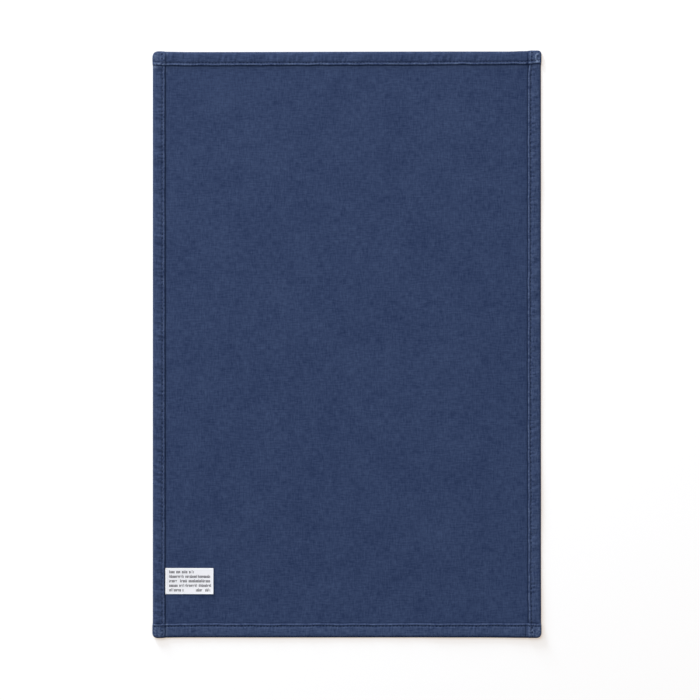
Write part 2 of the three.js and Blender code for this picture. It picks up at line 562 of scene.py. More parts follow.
    def dent(self, hem: Hem, run: np.ndarray, inset: np.ndarray) -> np.ndarray:
        """Depth of the needle holes: a bell of the distance from the nearest hole of a hem's seam.

        Args:
            hem: the hem.
            run: distance along the hem.
            inset: distance from the outline.

        Returns:
            The depth to take off.
        """
        off_hole = (np.mod(hem.stitch_count(run) + 0.5, 1) - 0.5) * hem.pitch
        along, across = self.dent_reach
        return self.needle_dent * bell(off_hole, along) * bell(inset - hem.seam_inset, across)

    def lines(self, axis: int, fine_step: float) -> Lines:
        """The grid lines across one direction: low hem, even steps between the hems, high hem.

        Args:
            axis: 0 for lines across X, 1 for lines across Y.
            fine_step: step between the hems.

        Returns:
            The lines.
        """
        low, high = (self.hem(side) for side in Side if side.axis == axis)
        half = self.size(axis) / 2
        plain, covered = [], []
        for hem in (low, high):
            top = self.hem_rows(hem)
            nose = [(hem.width - back, rise) for back, rise in hem.lip.nose]
            plain.append(np.array(top + nose))
            inner, outer = self.covered_out
            steady = np.linspace(hem.width - inner, hem.width + outer, len(nose))
            soft = np.array(top + [(place, 0.0) for place in steady])
            before, slope = self.covered_slope
            evened = np.clip(soft[:, 1] * 0.4 + 0.7, 0, 1)
            soft[:, 1] = fade(soft[:, 0] - (hem.width - before), slope) * evened
            covered.append(soft)
        start = plain[0][-1, 0] - half
        stop = half - plain[1][-1, 0]
        steps = round((stop - start) / fine_step)
        middle = np.linspace(start, stop, steps + 1)[1:-1]
        flat = np.zeros(len(middle))

        joined = []
        for first, last in (plain, covered):
            joined.append(np.concatenate([first[:, 0] - half, middle, half - last[::-1, 0]]))
            joined.append(np.concatenate([first[:, 1], flat, last[::-1, 1]]))
        return Lines(*joined, low_count=len(plain[0]), high_count=len(plain[1]))


@dataclass(frozen=True)
class Tuck:
    """The end of the turned-in layer that shows as a small ridge, open to the side, on one corner."""

    centre_x: float = 231.6
    centre_y: float = 346.85
    half_width: float = 3.0
    half_length: float = 4.2
    squareness: float = 3.0
    ridge: float = 0.55
    ridge_width: float = 0.75
    opens_at: float = 0.75
    opening_fade: float = 0.5
    hollow: float = 0.35
    tip: tuple[float, float, float, float] = (232.8, 345.0, 1.0, 1.5)
    tip_share: float = 0.8
    hollow_reach: float = 0.62

    def height(self, x: np.ndarray, y: np.ndarray) -> np.ndarray:
        """A ridge along a C-shaped arc of a squarish ellipse, with a hollow inside it.

        Args:
            x: places across the towel.
            y: places along the towel.

        Returns:
            The height to add.
        """
        across = (x - self.centre_x) / self.half_width
        along = (y - self.centre_y) / self.half_length
        power = self.squareness
        radius = (np.abs(across) ** power + np.abs(along) ** power) ** (1 / power)
        closed = np.clip((self.opens_at - across) / self.opening_fade, 0, 1)
        ridge = bell((radius - 1) * self.half_width, self.ridge_width) * closed
        tip_x, tip_y, reach_x, reach_y = self.tip
        tip = self.tip_share * bell(x - tip_x, reach_x) * bell(y - tip_y, reach_y)
        return self.ridge * np.maximum(ridge, tip) - self.hollow * bell(radius, self.hollow_reach)


class MeshDraft:
    """Vertices and faces gathered as whole arrays, then written to one Blender mesh."""

    def __init__(self) -> None:
        """Starts empty."""
        self.places: list[np.ndarray] = []
        self.values: dict[str, list[np.ndarray]] = {}
        self.quads: list[np.ndarray] = []
        self.triangles: list[np.ndarray] = []
        self.count = 0

    def add(self, places: np.ndarray, values: dict[str, np.ndarray] | None = None) -> np.ndarray:
        """Adds vertices.

        Args:
            places: an array of points, in millimetres.
            values: per-vertex values by name, and each name not given is 0 here.

        Returns:
            The vertices' numbers.
        """
        places = np.asarray(places, float).reshape(-1, 3)
        values = values or {}
        for name in sorted({*values, *self.values}):
            known = self.values.setdefault(name, [np.zeros(self.count)] if self.count else [])
            known.append(np.broadcast_to(values.get(name, 0.0), len(places)).astype(float))
        self.places.append(places)
        numbers = np.arange(self.count, self.count + len(places))
        self.count += len(places)
        return numbers

    def grid(self, numbers: np.ndarray, upward: bool = True) -> None:
        """Adds the cells of a grid of vertex numbers, with columns along X and rows along Y.

        Args:
            numbers: the grid.
            upward: whether the cells face up.
        """
        corners = [numbers[:-1, :-1], numbers[1:, :-1], numbers[1:, 1:], numbers[:-1, 1:]]
        quads = np.stack(corners, -1).reshape(-1, 4)
        self.quads.append(quads if upward else quads[:, ::-1])

    def wall(self, upper: np.ndarray, lower: np.ndarray) -> None:
        """Adds the cells between two chains of equal length that run against the clock, seen from above."""
        self.quads.append(np.stack([upper[:-1], lower[:-1], lower[1:], upper[1:]], -1))

    def bridge(self, outer: np.ndarray, inner: np.ndarray, upward: bool = True) -> None:
        """Joins two chains of vertices that run side by side, each cut into its own number of steps.

        Each step of one chain makes a triangle with the vertex of the other chain that is level
        with its middle.

        Args:
            outer: the chain on the right-hand side of the way that both run.
            inner: the chain on the left-hand side.
            upward: whether the triangles face up.
        """
        outer_steps = (np.arange(len(outer) - 1) + 0.5) / (len(outer) - 1)
        inner_steps = (np.arange(len(inner) - 1) + 0.5) / (len(inner) - 1)
        facing_inner = inner[np.searchsorted(inner_steps, outer_steps, side="left")]
        facing_outer = outer[np.searchsorted(outer_steps, inner_steps, side="right")]
        first = np.stack([outer[:-1], outer[1:], facing_inner], 1)
        second = np.stack([inner[1:], inner[:-1], facing_outer], 1)
        both = np.concatenate([first, second])
        self.triangles.append(both if upward else both[:, ::-1])

    def build(self, name: str) -> bpy.types.Object:
        """Writes the mesh.

        Args:
            name: name of the object.

        Returns:
            The object, at the origin, in metres, smooth shaded.
        """
        mesh = bpy.data.meshes.new(name)
        places = np.concatenate(self.places) * MM
        quads = np.concatenate(self.quads) if self.quads else np.zeros((0, 4), int)
        triangles = np.concatenate(self.triangles) if self.triangles else np.zeros((0, 3), int)
        corners = np.concatenate([quads.ravel(), triangles.ravel()])
        sizes = np.concatenate([np.full(len(quads), 4), np.full(len(triangles), 3)])
        mesh.vertices.add(len(places))
        mesh.vertices.foreach_set("co", places.astype(np.float32).ravel())
        mesh.loops.add(len(corners))
        mesh.loops.foreach_set("vertex_index", corners.astype(np.int32))
        mesh.polygons.add(len(sizes))
        mesh.polygons.foreach_set("loop_start", (np.cumsum(sizes) - sizes).astype(np.int32))
        mesh.polygons.foreach_set("use_smooth", np.ones(len(sizes), bool))
        for value_name, parts in self.values.items():
            layer = mesh.attributes.new(value_name, "FLOAT", "POINT")
            layer.data.foreach_set("value", np.concatenate(parts).astype(np.float32))
        mesh.update(calc_edges=True)
        mesh.validate()
        piece = bpy.data.objects.new(name, mesh)
        bpy.context.scene.collection.objects.link(piece)
        return piece


@dataclass(frozen=True)
class FaceTone:
    """Where the worn crests, the painted highlights and the lines of painted shade on the hemmed face lie, in
    millimetres.

    A hidden lip is a side hem's under an end hem. Pairs are a place counted from the lip and a reach.
    """

    crest_reach: float = 0.8
    hidden_crest: tuple[float, float] = (2.2, 0.6)
    beyond: tuple[float, float] = (2.0, 1.05)
    step_out: float = 0.2
    step_fade: float = 3.5
    line_reach: float = 0.9
    stack_holes: float = 1.8
    worn_from: float = 0.3
    worn_fade: float = 0.8


@dataclass
class TowelCloth:
    """The hemmed cloth as one closed mesh: fine along the hems, coarse between them, flat below."""

    form: TowelForm = field(default_factory=TowelForm)
    tuck: Tuck = field(default_factory=Tuck)
    tone: FaceTone = field(default_factory=FaceTone)
    field_step: float = 6.0
    under_step: float = 8.0
    band: float = 3.0
    fold_levels: int = 10
    seam_groove: float = 0.35
    groove_lines: tuple[float, ...] = (-1.6, -0.8, 0.0, 0.8, 1.6)
    under_border: float = 20.0
    label_span: tuple[float, float] = (-303.0, -270.4)
    label_lift: float = 0.3
    label_fade: tuple[float, float] = (7.0, 6.0)
    covered_pucker: float = 0.2
    relief_fade: float = 0.8
    slip_start: float = 5.0
    slip_whole: float = 1.5
    slip_past: float = 0.4
    slip_end: float = 2.6
    pinch: float = 0.42
    pinch_span: tuple[float, float] = (13.0, 4.0)
    pinch_power: int = 6

    def hem_relief(self, x: np.ndarray, y: np.ndarray, covered: np.ndarray) -> np.ndarray:
        """Sum of the hems' puckers less their needle holes, each kept to its own strip, less the dips.

        Args:
            x: places across the towel.
            y: places along the towel.
            covered: 1 where an end hem covers a side hem, which damps the side hem's puckers.

        Returns:
            The height to add.
        """
        form = self.form
        total = np.zeros(x.shape)
        for hem in form.hems:
            run, inset = form.on(hem, x, y)
            inside = np.clip((hem.width - inset) / self.relief_fade, 0, 1)
            shown = 1 - (1 - self.covered_pucker) * covered if hem.side.axis == 0 else 1.0
            total = total + (form.pucker(hem, run, inset) * shown - form.dent(hem, run, inset)) * inside
        return total - form.dip("depth", x, y)

    def lip_shift(self, x: np.ndarray, y: np.ndarray) -> tuple[np.ndarray, np.ndarray]:
        """How far seams and lips are moved: a hem's shift, growing up to its seam and ending past its lip.

        Args:
            x: places across the towel.
            y: places along the towel.

        Returns:
            The shift of each place in X and in Y.
        """
        shift = [np.zeros(x.shape), np.zeros(x.shape)]
        for hem in self.form.hems:
            run, inset = self.form.on(hem, x, y)
            whole_at = hem.seam_inset - self.slip_whole
            growth = 1 - fade(inset - self.slip_start, whole_at - self.slip_start)
            share = growth * fade(inset - hem.width - self.slip_past, self.slip_end)
            shift[hem.side.axis] = shift[hem.side.axis] - hem.side.out * share * hem.shift(run)
        return shift[0], shift[1]

    def face(
        self, columns: Lines, rows: Lines, i: np.ndarray, j: np.ndarray
    ) -> tuple[np.ndarray, dict[str, np.ndarray]]:
        """The hemmed face at pairs of grid lines.

        Thickness is cloth + side + end - press x side x end, where side and end are the two hems'
        heights there. Under an end hem the side hem's lip is replaced by its covered version.

        Args:
            columns: lines across X.
            rows: lines across Y.
            i: column of each vertex.
            j: row of each vertex.

        Returns:
            The points, and the per-vertex values that the finish reads.
        """
        form = self.form
        end_share = rows.rise[j]
        covered = np.clip(end_share / 0.5, 0, 1)
        x = columns.place[i] * (1 - covered) + columns.covered_place[i] * covered
        y = rows.place[j]
        side_share = columns.rise[i] * (1 - covered) + columns.covered_rise[i] * covered
        side_hem = np.where(i * 2 < columns.count, form.hem(Side.LEFT).rise, form.hem(Side.RIGHT).rise)
        side = side_hem * side_share
        end = form.hem(Side.TOP).rise * end_share
        beside, beyond = self.label_fade
        over_label = fade(np.abs(y - np.mean(self.label_span)) - np.ptp(self.label_span) / 2, beyond)
        over_label = over_label * fade(np.abs(x + form.width / 2 - form.hem(Side.LEFT).width), beside)
        side = side + self.label_lift * over_label * np.clip(side_share * 3, 0, 1)
        relief = self.hem_relief(x, y, covered)
        thickness = form.cloth + side + end - form.corner_press * side * end + form.ripple(x, y) + relief
        slip_x, slip_y = self.lip_shift(x, y)
        place = self.placed(x + slip_x, y + slip_y, thickness)
        place[:, 2] += self.tuck.height(place[:, 0], place[:, 1])
        return place, self.finish_values(x, y, side_share, end_share)

    def finish_values(
        self, x: np.ndarray, y: np.ndarray, side: np.ndarray, end: np.ndarray
    ) -> dict[str, np.ndarray]:
        """Per-vertex values: how much hem shows, how much of a stack, and where the seams run.

        Args:
            x: places across the towel.
            y: places along the towel.
            side: share of the side hem's height.
            end: share of the end hem's height.

        Returns:
            hem, worn (how faded each hem is), stack, lip, the painted highlights past lips and on bulges, the
            painted shade at the foot of each lip, rim (painted shade along the right and lower outer folds,
            the lower seam's valley and the dark dips), seam_run (stitches along the nearest seam), seam_off
            (millimetres from it) and the painted shade in its needle holes.
        """
        form, tone = self.form, self.tone
        stack = np.clip(side, 0, 1) * np.clip(end, 0, 1)
        names = [item.name for item in fields(CornerBlock) if item.type is float]
        corner = {name: form.of_corner(name, x, y) for name in names}
        lines = self.line_values(x, y, np.clip(side * 2, 0, 1), end, corner)
        # The dark dips add painted shade, and the light ones painted highlights.
        lines["rim"] = np.maximum(lines["rim"], form.dip("dark", x, y))
        lines["spot"] = np.maximum(lines["spot"], form.dip("light", x, y))
        worn = np.zeros(x.shape)
        for hem in form.hems:
            before_lip = hem.width - form.on(hem, x, y)[1]
            worn = np.maximum(worn, hem.wear * np.clip((before_lip - tone.worn_from) / tone.worn_fade, 0, 1))
        return {
            "hem": np.clip(np.maximum(side, end) * 1.2, 0, 1),
            "worn": worn,
            "stack": stack * corner["wear"],
            **lines,
            **self.seam_values(x, y, stack),
        }

    def seam_values(self, x: np.ndarray, y: np.ndarray, stack: np.ndarray) -> dict[str, np.ndarray]:
        """What the nearest seam gives each place: seam_run, seam_off and how dark the painted shade in its
        needle holes is.

        Args:
            x: places across the towel.
            y: places along the towel.
            stack: how much of a corner's stack each place is on, where holes are darker.

        Returns:
            The values by name.
        """
        away, run_count, dark = np.full(x.shape, FAR_FROM_SEAM), np.zeros(x.shape), np.zeros(x.shape)
        for hem in self.form.hems:
            run, inset = self.form.on(hem, x, y)
            nearer = np.abs(inset - hem.seam_inset) < np.abs(away)
            away = np.where(nearer, inset - hem.seam_inset, away)
            run_count = np.where(nearer, hem.stitch_count(run), run_count)
            on_stack = self.tone.stack_holes * stack if hem.side.axis == 0 else 0.0
            dark = np.where(nearer, np.maximum(hem.hole_dark, on_stack), dark)
        return {"seam_run": run_count, "seam_off": away, "hole_dark": dark}

    def line_values(
        self,
        x: np.ndarray,
        y: np.ndarray,
        on_side: np.ndarray,
        end: np.ndarray,
        corner: dict[str, np.ndarray],
    ) -> dict[str, np.ndarray]:
        """The light and dark lines along the hems, each a bell: the lip's worn crest, painted highlights past
        the lip, painted shade at its foot, and the rim, painted shade along the outer fold and the seam's
        valley.

        Args:
            x: places across the towel.
            y: places along the towel.
            on_side: 1 on a side hem.
            end: share of the end hem's height.
            corner: values of the corner block on each place's quarter, by name.

        Returns:
            The values by name.
        """
        form, tone = self.form, self.tone
        lip, spot, crevice, rim = (np.zeros(x.shape) for _ in range(4))
        at_outline = fade(form.width / 2 - np.abs(x), corner["lip_fade"])
        off_end = 1 - fade(form.length / 2 - np.abs(y), tone.step_fade)
        for hem in form.hems:
            crosses = hem.side.axis == 1
            inset = form.on(hem, x, y)[1]
            past_lip = inset - hem.width
            hidden = (not crosses) & (end > COVERED_FROM)

            crest_back = np.where(hidden, tone.hidden_crest[0], hem.crest_back)
            crest_reach = np.where(hidden, tone.hidden_crest[1], tone.crest_reach)
            crest_light = hem.lip_wear * np.where(hidden, corner["step_light"], 1.0)
            lip = np.maximum(lip, crest_light * bell(past_lip + crest_back, crest_reach))
            # Painted highlight on the cloth just past the lip, or past the hidden lip's step in a corner
            # block.
            highlight_beyond = np.where(hidden, corner["past_step_highlight"], hem.beyond)
            spot = np.maximum(spot, highlight_beyond * bell(past_lip - tone.beyond[0], tone.beyond[1]))

            # Painted shade at the lip's foot, or along the hidden lip's step in a corner block.
            foot_out, foot_reach, foot_shade = hem.foot
            foot_out = np.where(hidden, corner["step_in"] + tone.step_out, foot_out - hem.lip.nose[0][0])
            foot_reach = np.where(hidden, corner["step_reach"], foot_reach)
            lip_foot = foot_shade * (1 + on_side * crosses * ((1 - at_outline) * corner["lip_foot_shade"] - 1))
            foot_shade = np.where(hidden, corner["step_shade"] * off_end, lip_foot)
            crevice = np.maximum(crevice, foot_shade * bell(past_lip - foot_out, foot_reach))

            # Painted shade along the outer fold and in the seam's valley.
            edge_in, edge_dark = hem.edge_dark
            rim = np.maximum(rim, edge_dark * bell(inset - edge_in, tone.line_reach))
            rim = np.maximum(rim, hem.painted_seam_shade * bell(inset - hem.seam_inset, tone.line_reach))
        return {"lip": lip, "spot": spot, "crevice": crevice, "rim": rim}

    def placed(self, x: np.ndarray, y: np.ndarray, height: np.ndarray) -> np.ndarray:
        """Points at a height above the underside, moved to the rounded, wandering, centred outline.

        Args:
            x: places across the towel.
            y: places along the towel.
            height: heights above the underside.

        Returns:
            The points.
        """
        round_x, round_y = self.form.round_corner(x, y)
        out_x, out_y = self.form.wander(x, y)
        middle_x, middle_y = self.form.middle
        moved = (round_x + out_x - middle_x, round_y + out_y - middle_y, self.form.lift(x, y) + height)
        return np.stack(moved, -1)

    def fold(
        self, draft: MeshDraft, x: np.ndarray, y: np.ndarray, rim: np.ndarray, top: np.ndarray
    ) -> np.ndarray:
        """The outer fold, round the whole outline: half an ellipse from the face's rim to the underside.

        At the ends of an end hem three folds of the side hem lie on each other, so there the half
        ellipse is pinched twice, by a power of the cosine of one and a half half-turns of the height.

        Args:
            draft: receives the vertices and faces.
            x: places of the outline's lines across the towel.
            y: places of the outline's lines along the towel.
            rim: numbers of the face's rim vertices.
            top: heights of the rim above the underside.

        Returns:
            Numbers of the vertices of the lowest level.
        """
        form = self.form
        half = (form.width / 2, form.length / 2)
        on_side = half[0] - np.abs(x) < form.fold_radius + SLIVER
        on_end = half[1] - np.abs(y) < form.fold_radius + SLIVER
        inner, ramp = self.pinch_span
        stacked = fade(half[1] - np.abs(y) - inner, ramp) * on_side * ~on_end
        # Painted shade along the right and lower outer folds, carried down the fold's walls.
        dark = {hem.side: hem.edge_dark[1] for hem in form.hems}
        painted_rim_shade = np.where(on_side, np.where(x < 0, dark[Side.LEFT], dark[Side.RIGHT]), 0.0)
        painted_rim_shade = np.where(on_end, np.where(y < 0, dark[Side.BOTTOM], dark[Side.TOP]), painted_rim_shade)
        upper = rim
        for level in range(1, self.fold_levels + 1):
            turn = math.pi * (0.5 - level / self.fold_levels)
            height = (1 + math.sin(turn)) / 2
            between = abs(math.cos(1.5 * math.pi * height)) ** self.pinch_power * (math.cos(turn) > 0.2)
            pinch = stacked * self.pinch * between
            roll = form.fold_radius * (1 - math.cos(turn) * (1 - pinch))
            here_x = np.where(on_side, np.sign(x) * (half[0] - roll), x)
            here_y = np.where(on_end, np.sign(y) * (half[1] - roll), y)
            values = {"hem": 1.0, "seam_off": FAR_FROM_SEAM, "worn": 1.0, "rim": painted_rim_shade}
            lower = draft.add(self.placed(here_x, here_y, top * height), values)
            draft.wall(np.append(upper, upper[0]), np.append(lower, lower[0]))
            upper = lower
        return upper

    def build(self) -> bpy.types.Object:
        """Builds the closed cloth.

        Returns:
            The cloth's object.
        """
        form = self.form
        draft = MeshDraft()
        columns, rows = form.lines(0, form.run_step), form.lines(1, form.run_step)
        column_line, row_line = columns.of_hem(columns.count), rows.of_hem(rows.count)
        used = column_line[:, None] | row_line[None, :]
        i, j = np.nonzero(used)
        places, values = self.face(columns, rows, i, j)
        numbers = np.full(used.shape, -1)
        numbers[i, j] = draft.add(places, values)
        column_step, row_step = columns.of_hem(columns.count - 1), rows.of_hem(rows.count - 1)
        ci, cj = np.nonzero(column_step[:, None] | row_step[None, :])
        cells = [numbers[ci, cj], numbers[ci + 1, cj], numbers[ci + 1, cj + 1], numbers[ci, cj + 1]]
        draft.quads.append(np.stack(cells, -1))

        left, right = columns.low_count - 1, columns.count - columns.high_count
        low, high = rows.low_count - 1, rows.count - rows.high_count
        inner = self.chains(numbers[left : right + 1, low : high + 1])
        open_numbers = self.open_cloth(draft, columns.place[[left, right]], rows.place[[low, high]])
        for outer_chain, inner_chain in zip(inner, self.chains(open_numbers)):
            draft.bridge(outer_chain, inner_chain)

        rim_i, rim_j = self.loop(columns.count, rows.count)
        height = np.zeros(used.shape)
        height[i, j] = places[:, 2] - form.lift(places[:, 0], places[:, 1])
        plain = rows.rise[rim_j] < COVERED_FROM
        rim_x = np.where(plain, columns.place[rim_i], columns.covered_place[rim_i])
        rim_y = rows.place[rim_j]
        foot = self.fold(draft, rim_x, rim_y, numbers[rim_i, rim_j], height[rim_i, rim_j])
        self.underside(draft, foot, columns.count, rows.count)
        return draft.build("towel_twill_cloth")

    @staticmethod
    def loop(columns: int, rows: int) -> tuple[np.ndarray, np.ndarray]:
        """Grid positions of the outline, once round, against the clock seen from above.

        Args:
            columns: lines across X.
            rows: lines across Y.

        Returns:
            The column and the row of each position.
        """
        across, along = np.arange(columns), np.arange(rows)
        still_i, still_j = np.zeros(rows - 1, int), np.zeros(columns - 1, int)
        i = np.concatenate([across[:-1], still_i + across[-1], across[:0:-1], still_i])
        j = np.concatenate([still_j, along[:-1], still_j + along[-1], along[:0:-1]])
        return i, j

    @staticmethod
    def chains(numbers: np.ndarray) -> list[np.ndarray]:
        """The four border chains of a grid, each with both its corners, against the clock seen from above."""
        return [numbers[:, 0], numbers[-1, :], numbers[::-1, -1], numbers[0, ::-1]]

    def open_cloth(self, draft: MeshDraft, across: np.ndarray, along: np.ndarray) -> np.ndarray:
        """The plain cloth between the hems, as an even grid.

        Args:
            draft: receives the vertices and faces.
            across: the last hem lines of the left and right hem.
            along: the last hem lines of the lower and upper hem.

        Returns:
            The grid of vertex numbers.
        """
        spans = []
        for low, high in (across, along):
            steps = round((high - low - 2 * self.band) / self.field_step)
            spans.append(np.linspace(low + self.band, high - self.band, steps + 1))
        x, y = (values.ravel() for values in np.meshgrid(*spans, indexing="ij"))
        places = self.placed(x, y, self.form.cloth + self.form.ripple(x, y))
        numbers = draft.add(places, {"seam_off": FAR_FROM_SEAM}).reshape(len(spans[0]), len(spans[1]))
        draft.grid(numbers)
        return numbers

    def underside(self, draft: MeshDraft, foot: np.ndarray, columns: int, rows: int) -> None:
        """The underside: flat, with a shallow groove under each seam for its lower thread.

        Args:
            draft: receives the vertices and faces.
            foot: numbers of the fold's lowest vertices, round the outline.
            columns: lines across X in the face.
            rows: lines across Y in the face.
        """
        form = self.form
        spans = []
        for axis in (0, 1):
            low, high = (form.hem(side) for side in Side if side.axis == axis)
            half = form.size(axis) / 2
            start, stop = self.band + form.fold_radius - half, half - self.band - form.fold_radius
            seams = [low.seam_inset - half, half - high.seam_inset]
            near = np.add.outer(seams, self.groove_lines).ravel()
            border = self.under_border
            steps = round((stop - start - 2 * border) / self.under_step)
            even = np.linspace(start + border, stop - border, steps + 1)
            spans.append(np.unique(np.concatenate([[start, stop], near, even])))
        x, y = (values.ravel() for values in np.meshgrid(*spans, indexing="ij"))
        groove = np.zeros(x.shape)
        for hem in form.hems:
            off_seam = np.abs(form.on(hem, x, y)[1] - hem.seam_inset)
            groove = np.maximum(groove, self.seam_groove * fade(off_seam, self.groove_lines[-1]))
        numbers = draft.add(self.placed(x, y, groove), {"seam_off": FAR_FROM_SEAM})
        numbers = numbers.reshape(len(spans[0]), len(spans[1]))
        draft.grid(numbers, upward=False)
        closed = np.append(foot, foot[0])
        cuts = np.cumsum([0, columns - 1, rows - 1, columns - 1, rows - 1])
        for part, inner_chain in enumerate(self.chains(numbers)):
            draft.bridge(closed[cuts[part] : cuts[part + 1] + 1], inner_chain, upward=False)


@dataclass
class Lockstitch:
    """The seams' thread: one short bowed stitch between each pair of needle holes, on both faces."""

    cloth: TowelCloth
    radius: float = 0.25
    gap: float = 0.17
    bow: float = 0.36
    sunk: float = 0.2
    slant: float = 0.12
    edge_gap: float = 3.4
    under_bow: float = 0.45
    flatness: tuple[float, float] = (0.85, 0.55)
    scatter: tuple[float, float, float] = (0.05, 0.06, 0.05)
    feed_samples: int = 4000
    rings: int = 7
    sides: int = 6
    seed: int = 5

    def runs(self, hem: Hem) -> tuple[float, float]:
        """Where a seam starts and ends: a little short of the outline."""
        reach = self.cloth.form.size(1 - hem.side.axis) / 2 - self.edge_gap
        return -reach, reach

    def top_height(self, x: np.ndarray, y: np.ndarray) -> np.ndarray:
        """Height of the hemmed face above the underside on a seam.

        Args:
            x: places across the towel.
            y: places along the towel.

        Returns:
            The height, worked out as in the cloth's face.
        """
        form = self.cloth.form
        shares = [np.zeros(x.shape), np.zeros(x.shape)]
        for hem in form.hems:
            inset = form.on(hem, x, y)[1]
            within = inset < hem.width
            shares[hem.side.axis] = np.where(within, form.section(hem, inset), shares[hem.side.axis])
        side = shares[0] * form.hem(Side.LEFT).rise
        end = shares[1] * form.hem(Side.TOP).rise
        relief = self.cloth.hem_relief(x, y, np.clip(shares[1] * 2, 0, 1))
        return form.cloth + side + end - form.corner_press * side * end + form.ripple(x, y) + relief

    def stitches(self, hem: Hem, face: bool) -> tuple[np.ndarray, np.ndarray]:
        """All stitches of one seam as arrays of points.

        A stitch's middle line bows up as sin(pi t) to the power 0.6 between its two holes and leans
        a little across the seam. Its section is a flattened circle that narrows towards both holes.

        Args:
            hem: the hem that the seam holds.
            face: True for the hemmed face, False for the underside.

        Returns:
            Points as stitch x ring x side x 3, and the shade of each stitch.
        """
        form = self.cloth.form
        start, stop = self.runs(hem)
        fine = np.linspace(start, stop, self.feed_samples)
        first, last = math.ceil(hem.stitch_count(fine[0])), math.floor(hem.stitch_count(fine[-1]))
        draw = np.random.default_rng(self.seed + hem.seed + (0 if face else UNDERSIDE_DRAW))
        lean_scatter, bow_scatter, radius_scatter = self.scatter
        count = last - first
        t = np.linspace(0, 1, self.rings)
        swell = np.sin(math.pi * np.clip(t, 0.03, 0.97))
        share = first + np.arange(count)[:, None] + self.gap + (1 - 2 * self.gap) * t
        run = np.interp(share, hem.stitch_count(fine), fine)
        lean = self.slant * (t - 0.5) * 2 + draw.normal(0, lean_scatter, count)[:, None]
        inset = hem.seam_inset + hem.shift(run) + lean
        across = hem.side.out * (form.size(hem.side.axis) / 2 - inset)
        x, y = (across, run) if hem.side.axis == 0 else (run, across)
        if face:
            middle = hem.side.out * (form.size(hem.side.axis) / 2 - hem.seam_inset)
            still = np.broadcast_to(middle, run.shape)
            seam_x, seam_y = (still, run) if hem.side.axis == 0 else (run, still)
            bow = self.bow * swell**0.6 * draw.normal(1, bow_scatter, count)[:, None]
            base = self.top_height(seam_x, seam_y) + bow - self.sunk
        else:
            base = np.full(run.shape, self.cloth.seam_groove) - self.bow * self.under_bow * swell**0.6
        thick = self.radius * swell**0.3 * draw.normal(1, radius_scatter, count)[:, None]
        angles = TURN * np.arange(self.sides) / self.sides
        centre = self.cloth.placed(x.ravel(), y.ravel(), base.ravel()).reshape(count, self.rings, 1, 3)
        offset = np.zeros((count, self.rings, self.sides, 3))
        offset[..., hem.side.axis] = thick[..., None] * np.cos(angles)
        offset[..., 2] = thick[..., None] * np.sin(angles) * self.flatness[0 if face else 1]
        return centre + offset, draw.normal(0, 1, count)

    @staticmethod
    def cap(ring: np.ndarray) -> np.ndarray:
        """Triangles that close one end of each stitch: a fan from the first vertex of its ring."""
        return np.concatenate([ring[:, [0, side + 1, side + 2]] for side in range(ring.shape[1] - 2)])

    def build(self, face: bool) -> bpy.types.Object:
        """Builds the thread of all four seams on one face as a single joined mesh.

        Args:
            face: True for the hemmed face, False for the underside.

        Returns:
            The thread's object.
        """
        draft = MeshDraft()
        for hem in self.cloth.form.hems:
            points, shade = self.stitches(hem, face)
            count = len(points)
            shades = np.repeat(shade, self.rings * self.sides)
            numbers = draft.add(points, {"shade": shades}).reshape(count, self.rings, self.sides)
            around = np.roll(numbers, -1, axis=2)
            corners = [numbers[:, :-1], numbers[:, 1:], around[:, 1:], around[:, :-1]]
            walls = np.stack(corners, -1).reshape(-1, 4)
            caps = [self.cap(numbers[:, 0]), self.cap(numbers[:, -1])[:, ::-1]]
            mirrored = hem.side.axis == 0
            draft.quads.append(walls if mirrored else walls[:, ::-1])
            draft.triangles.extend(cap[:, ::-1] if mirrored else cap for cap in caps)
        return draft.build("hem_thread_face" if face else "hem_thread_underside")


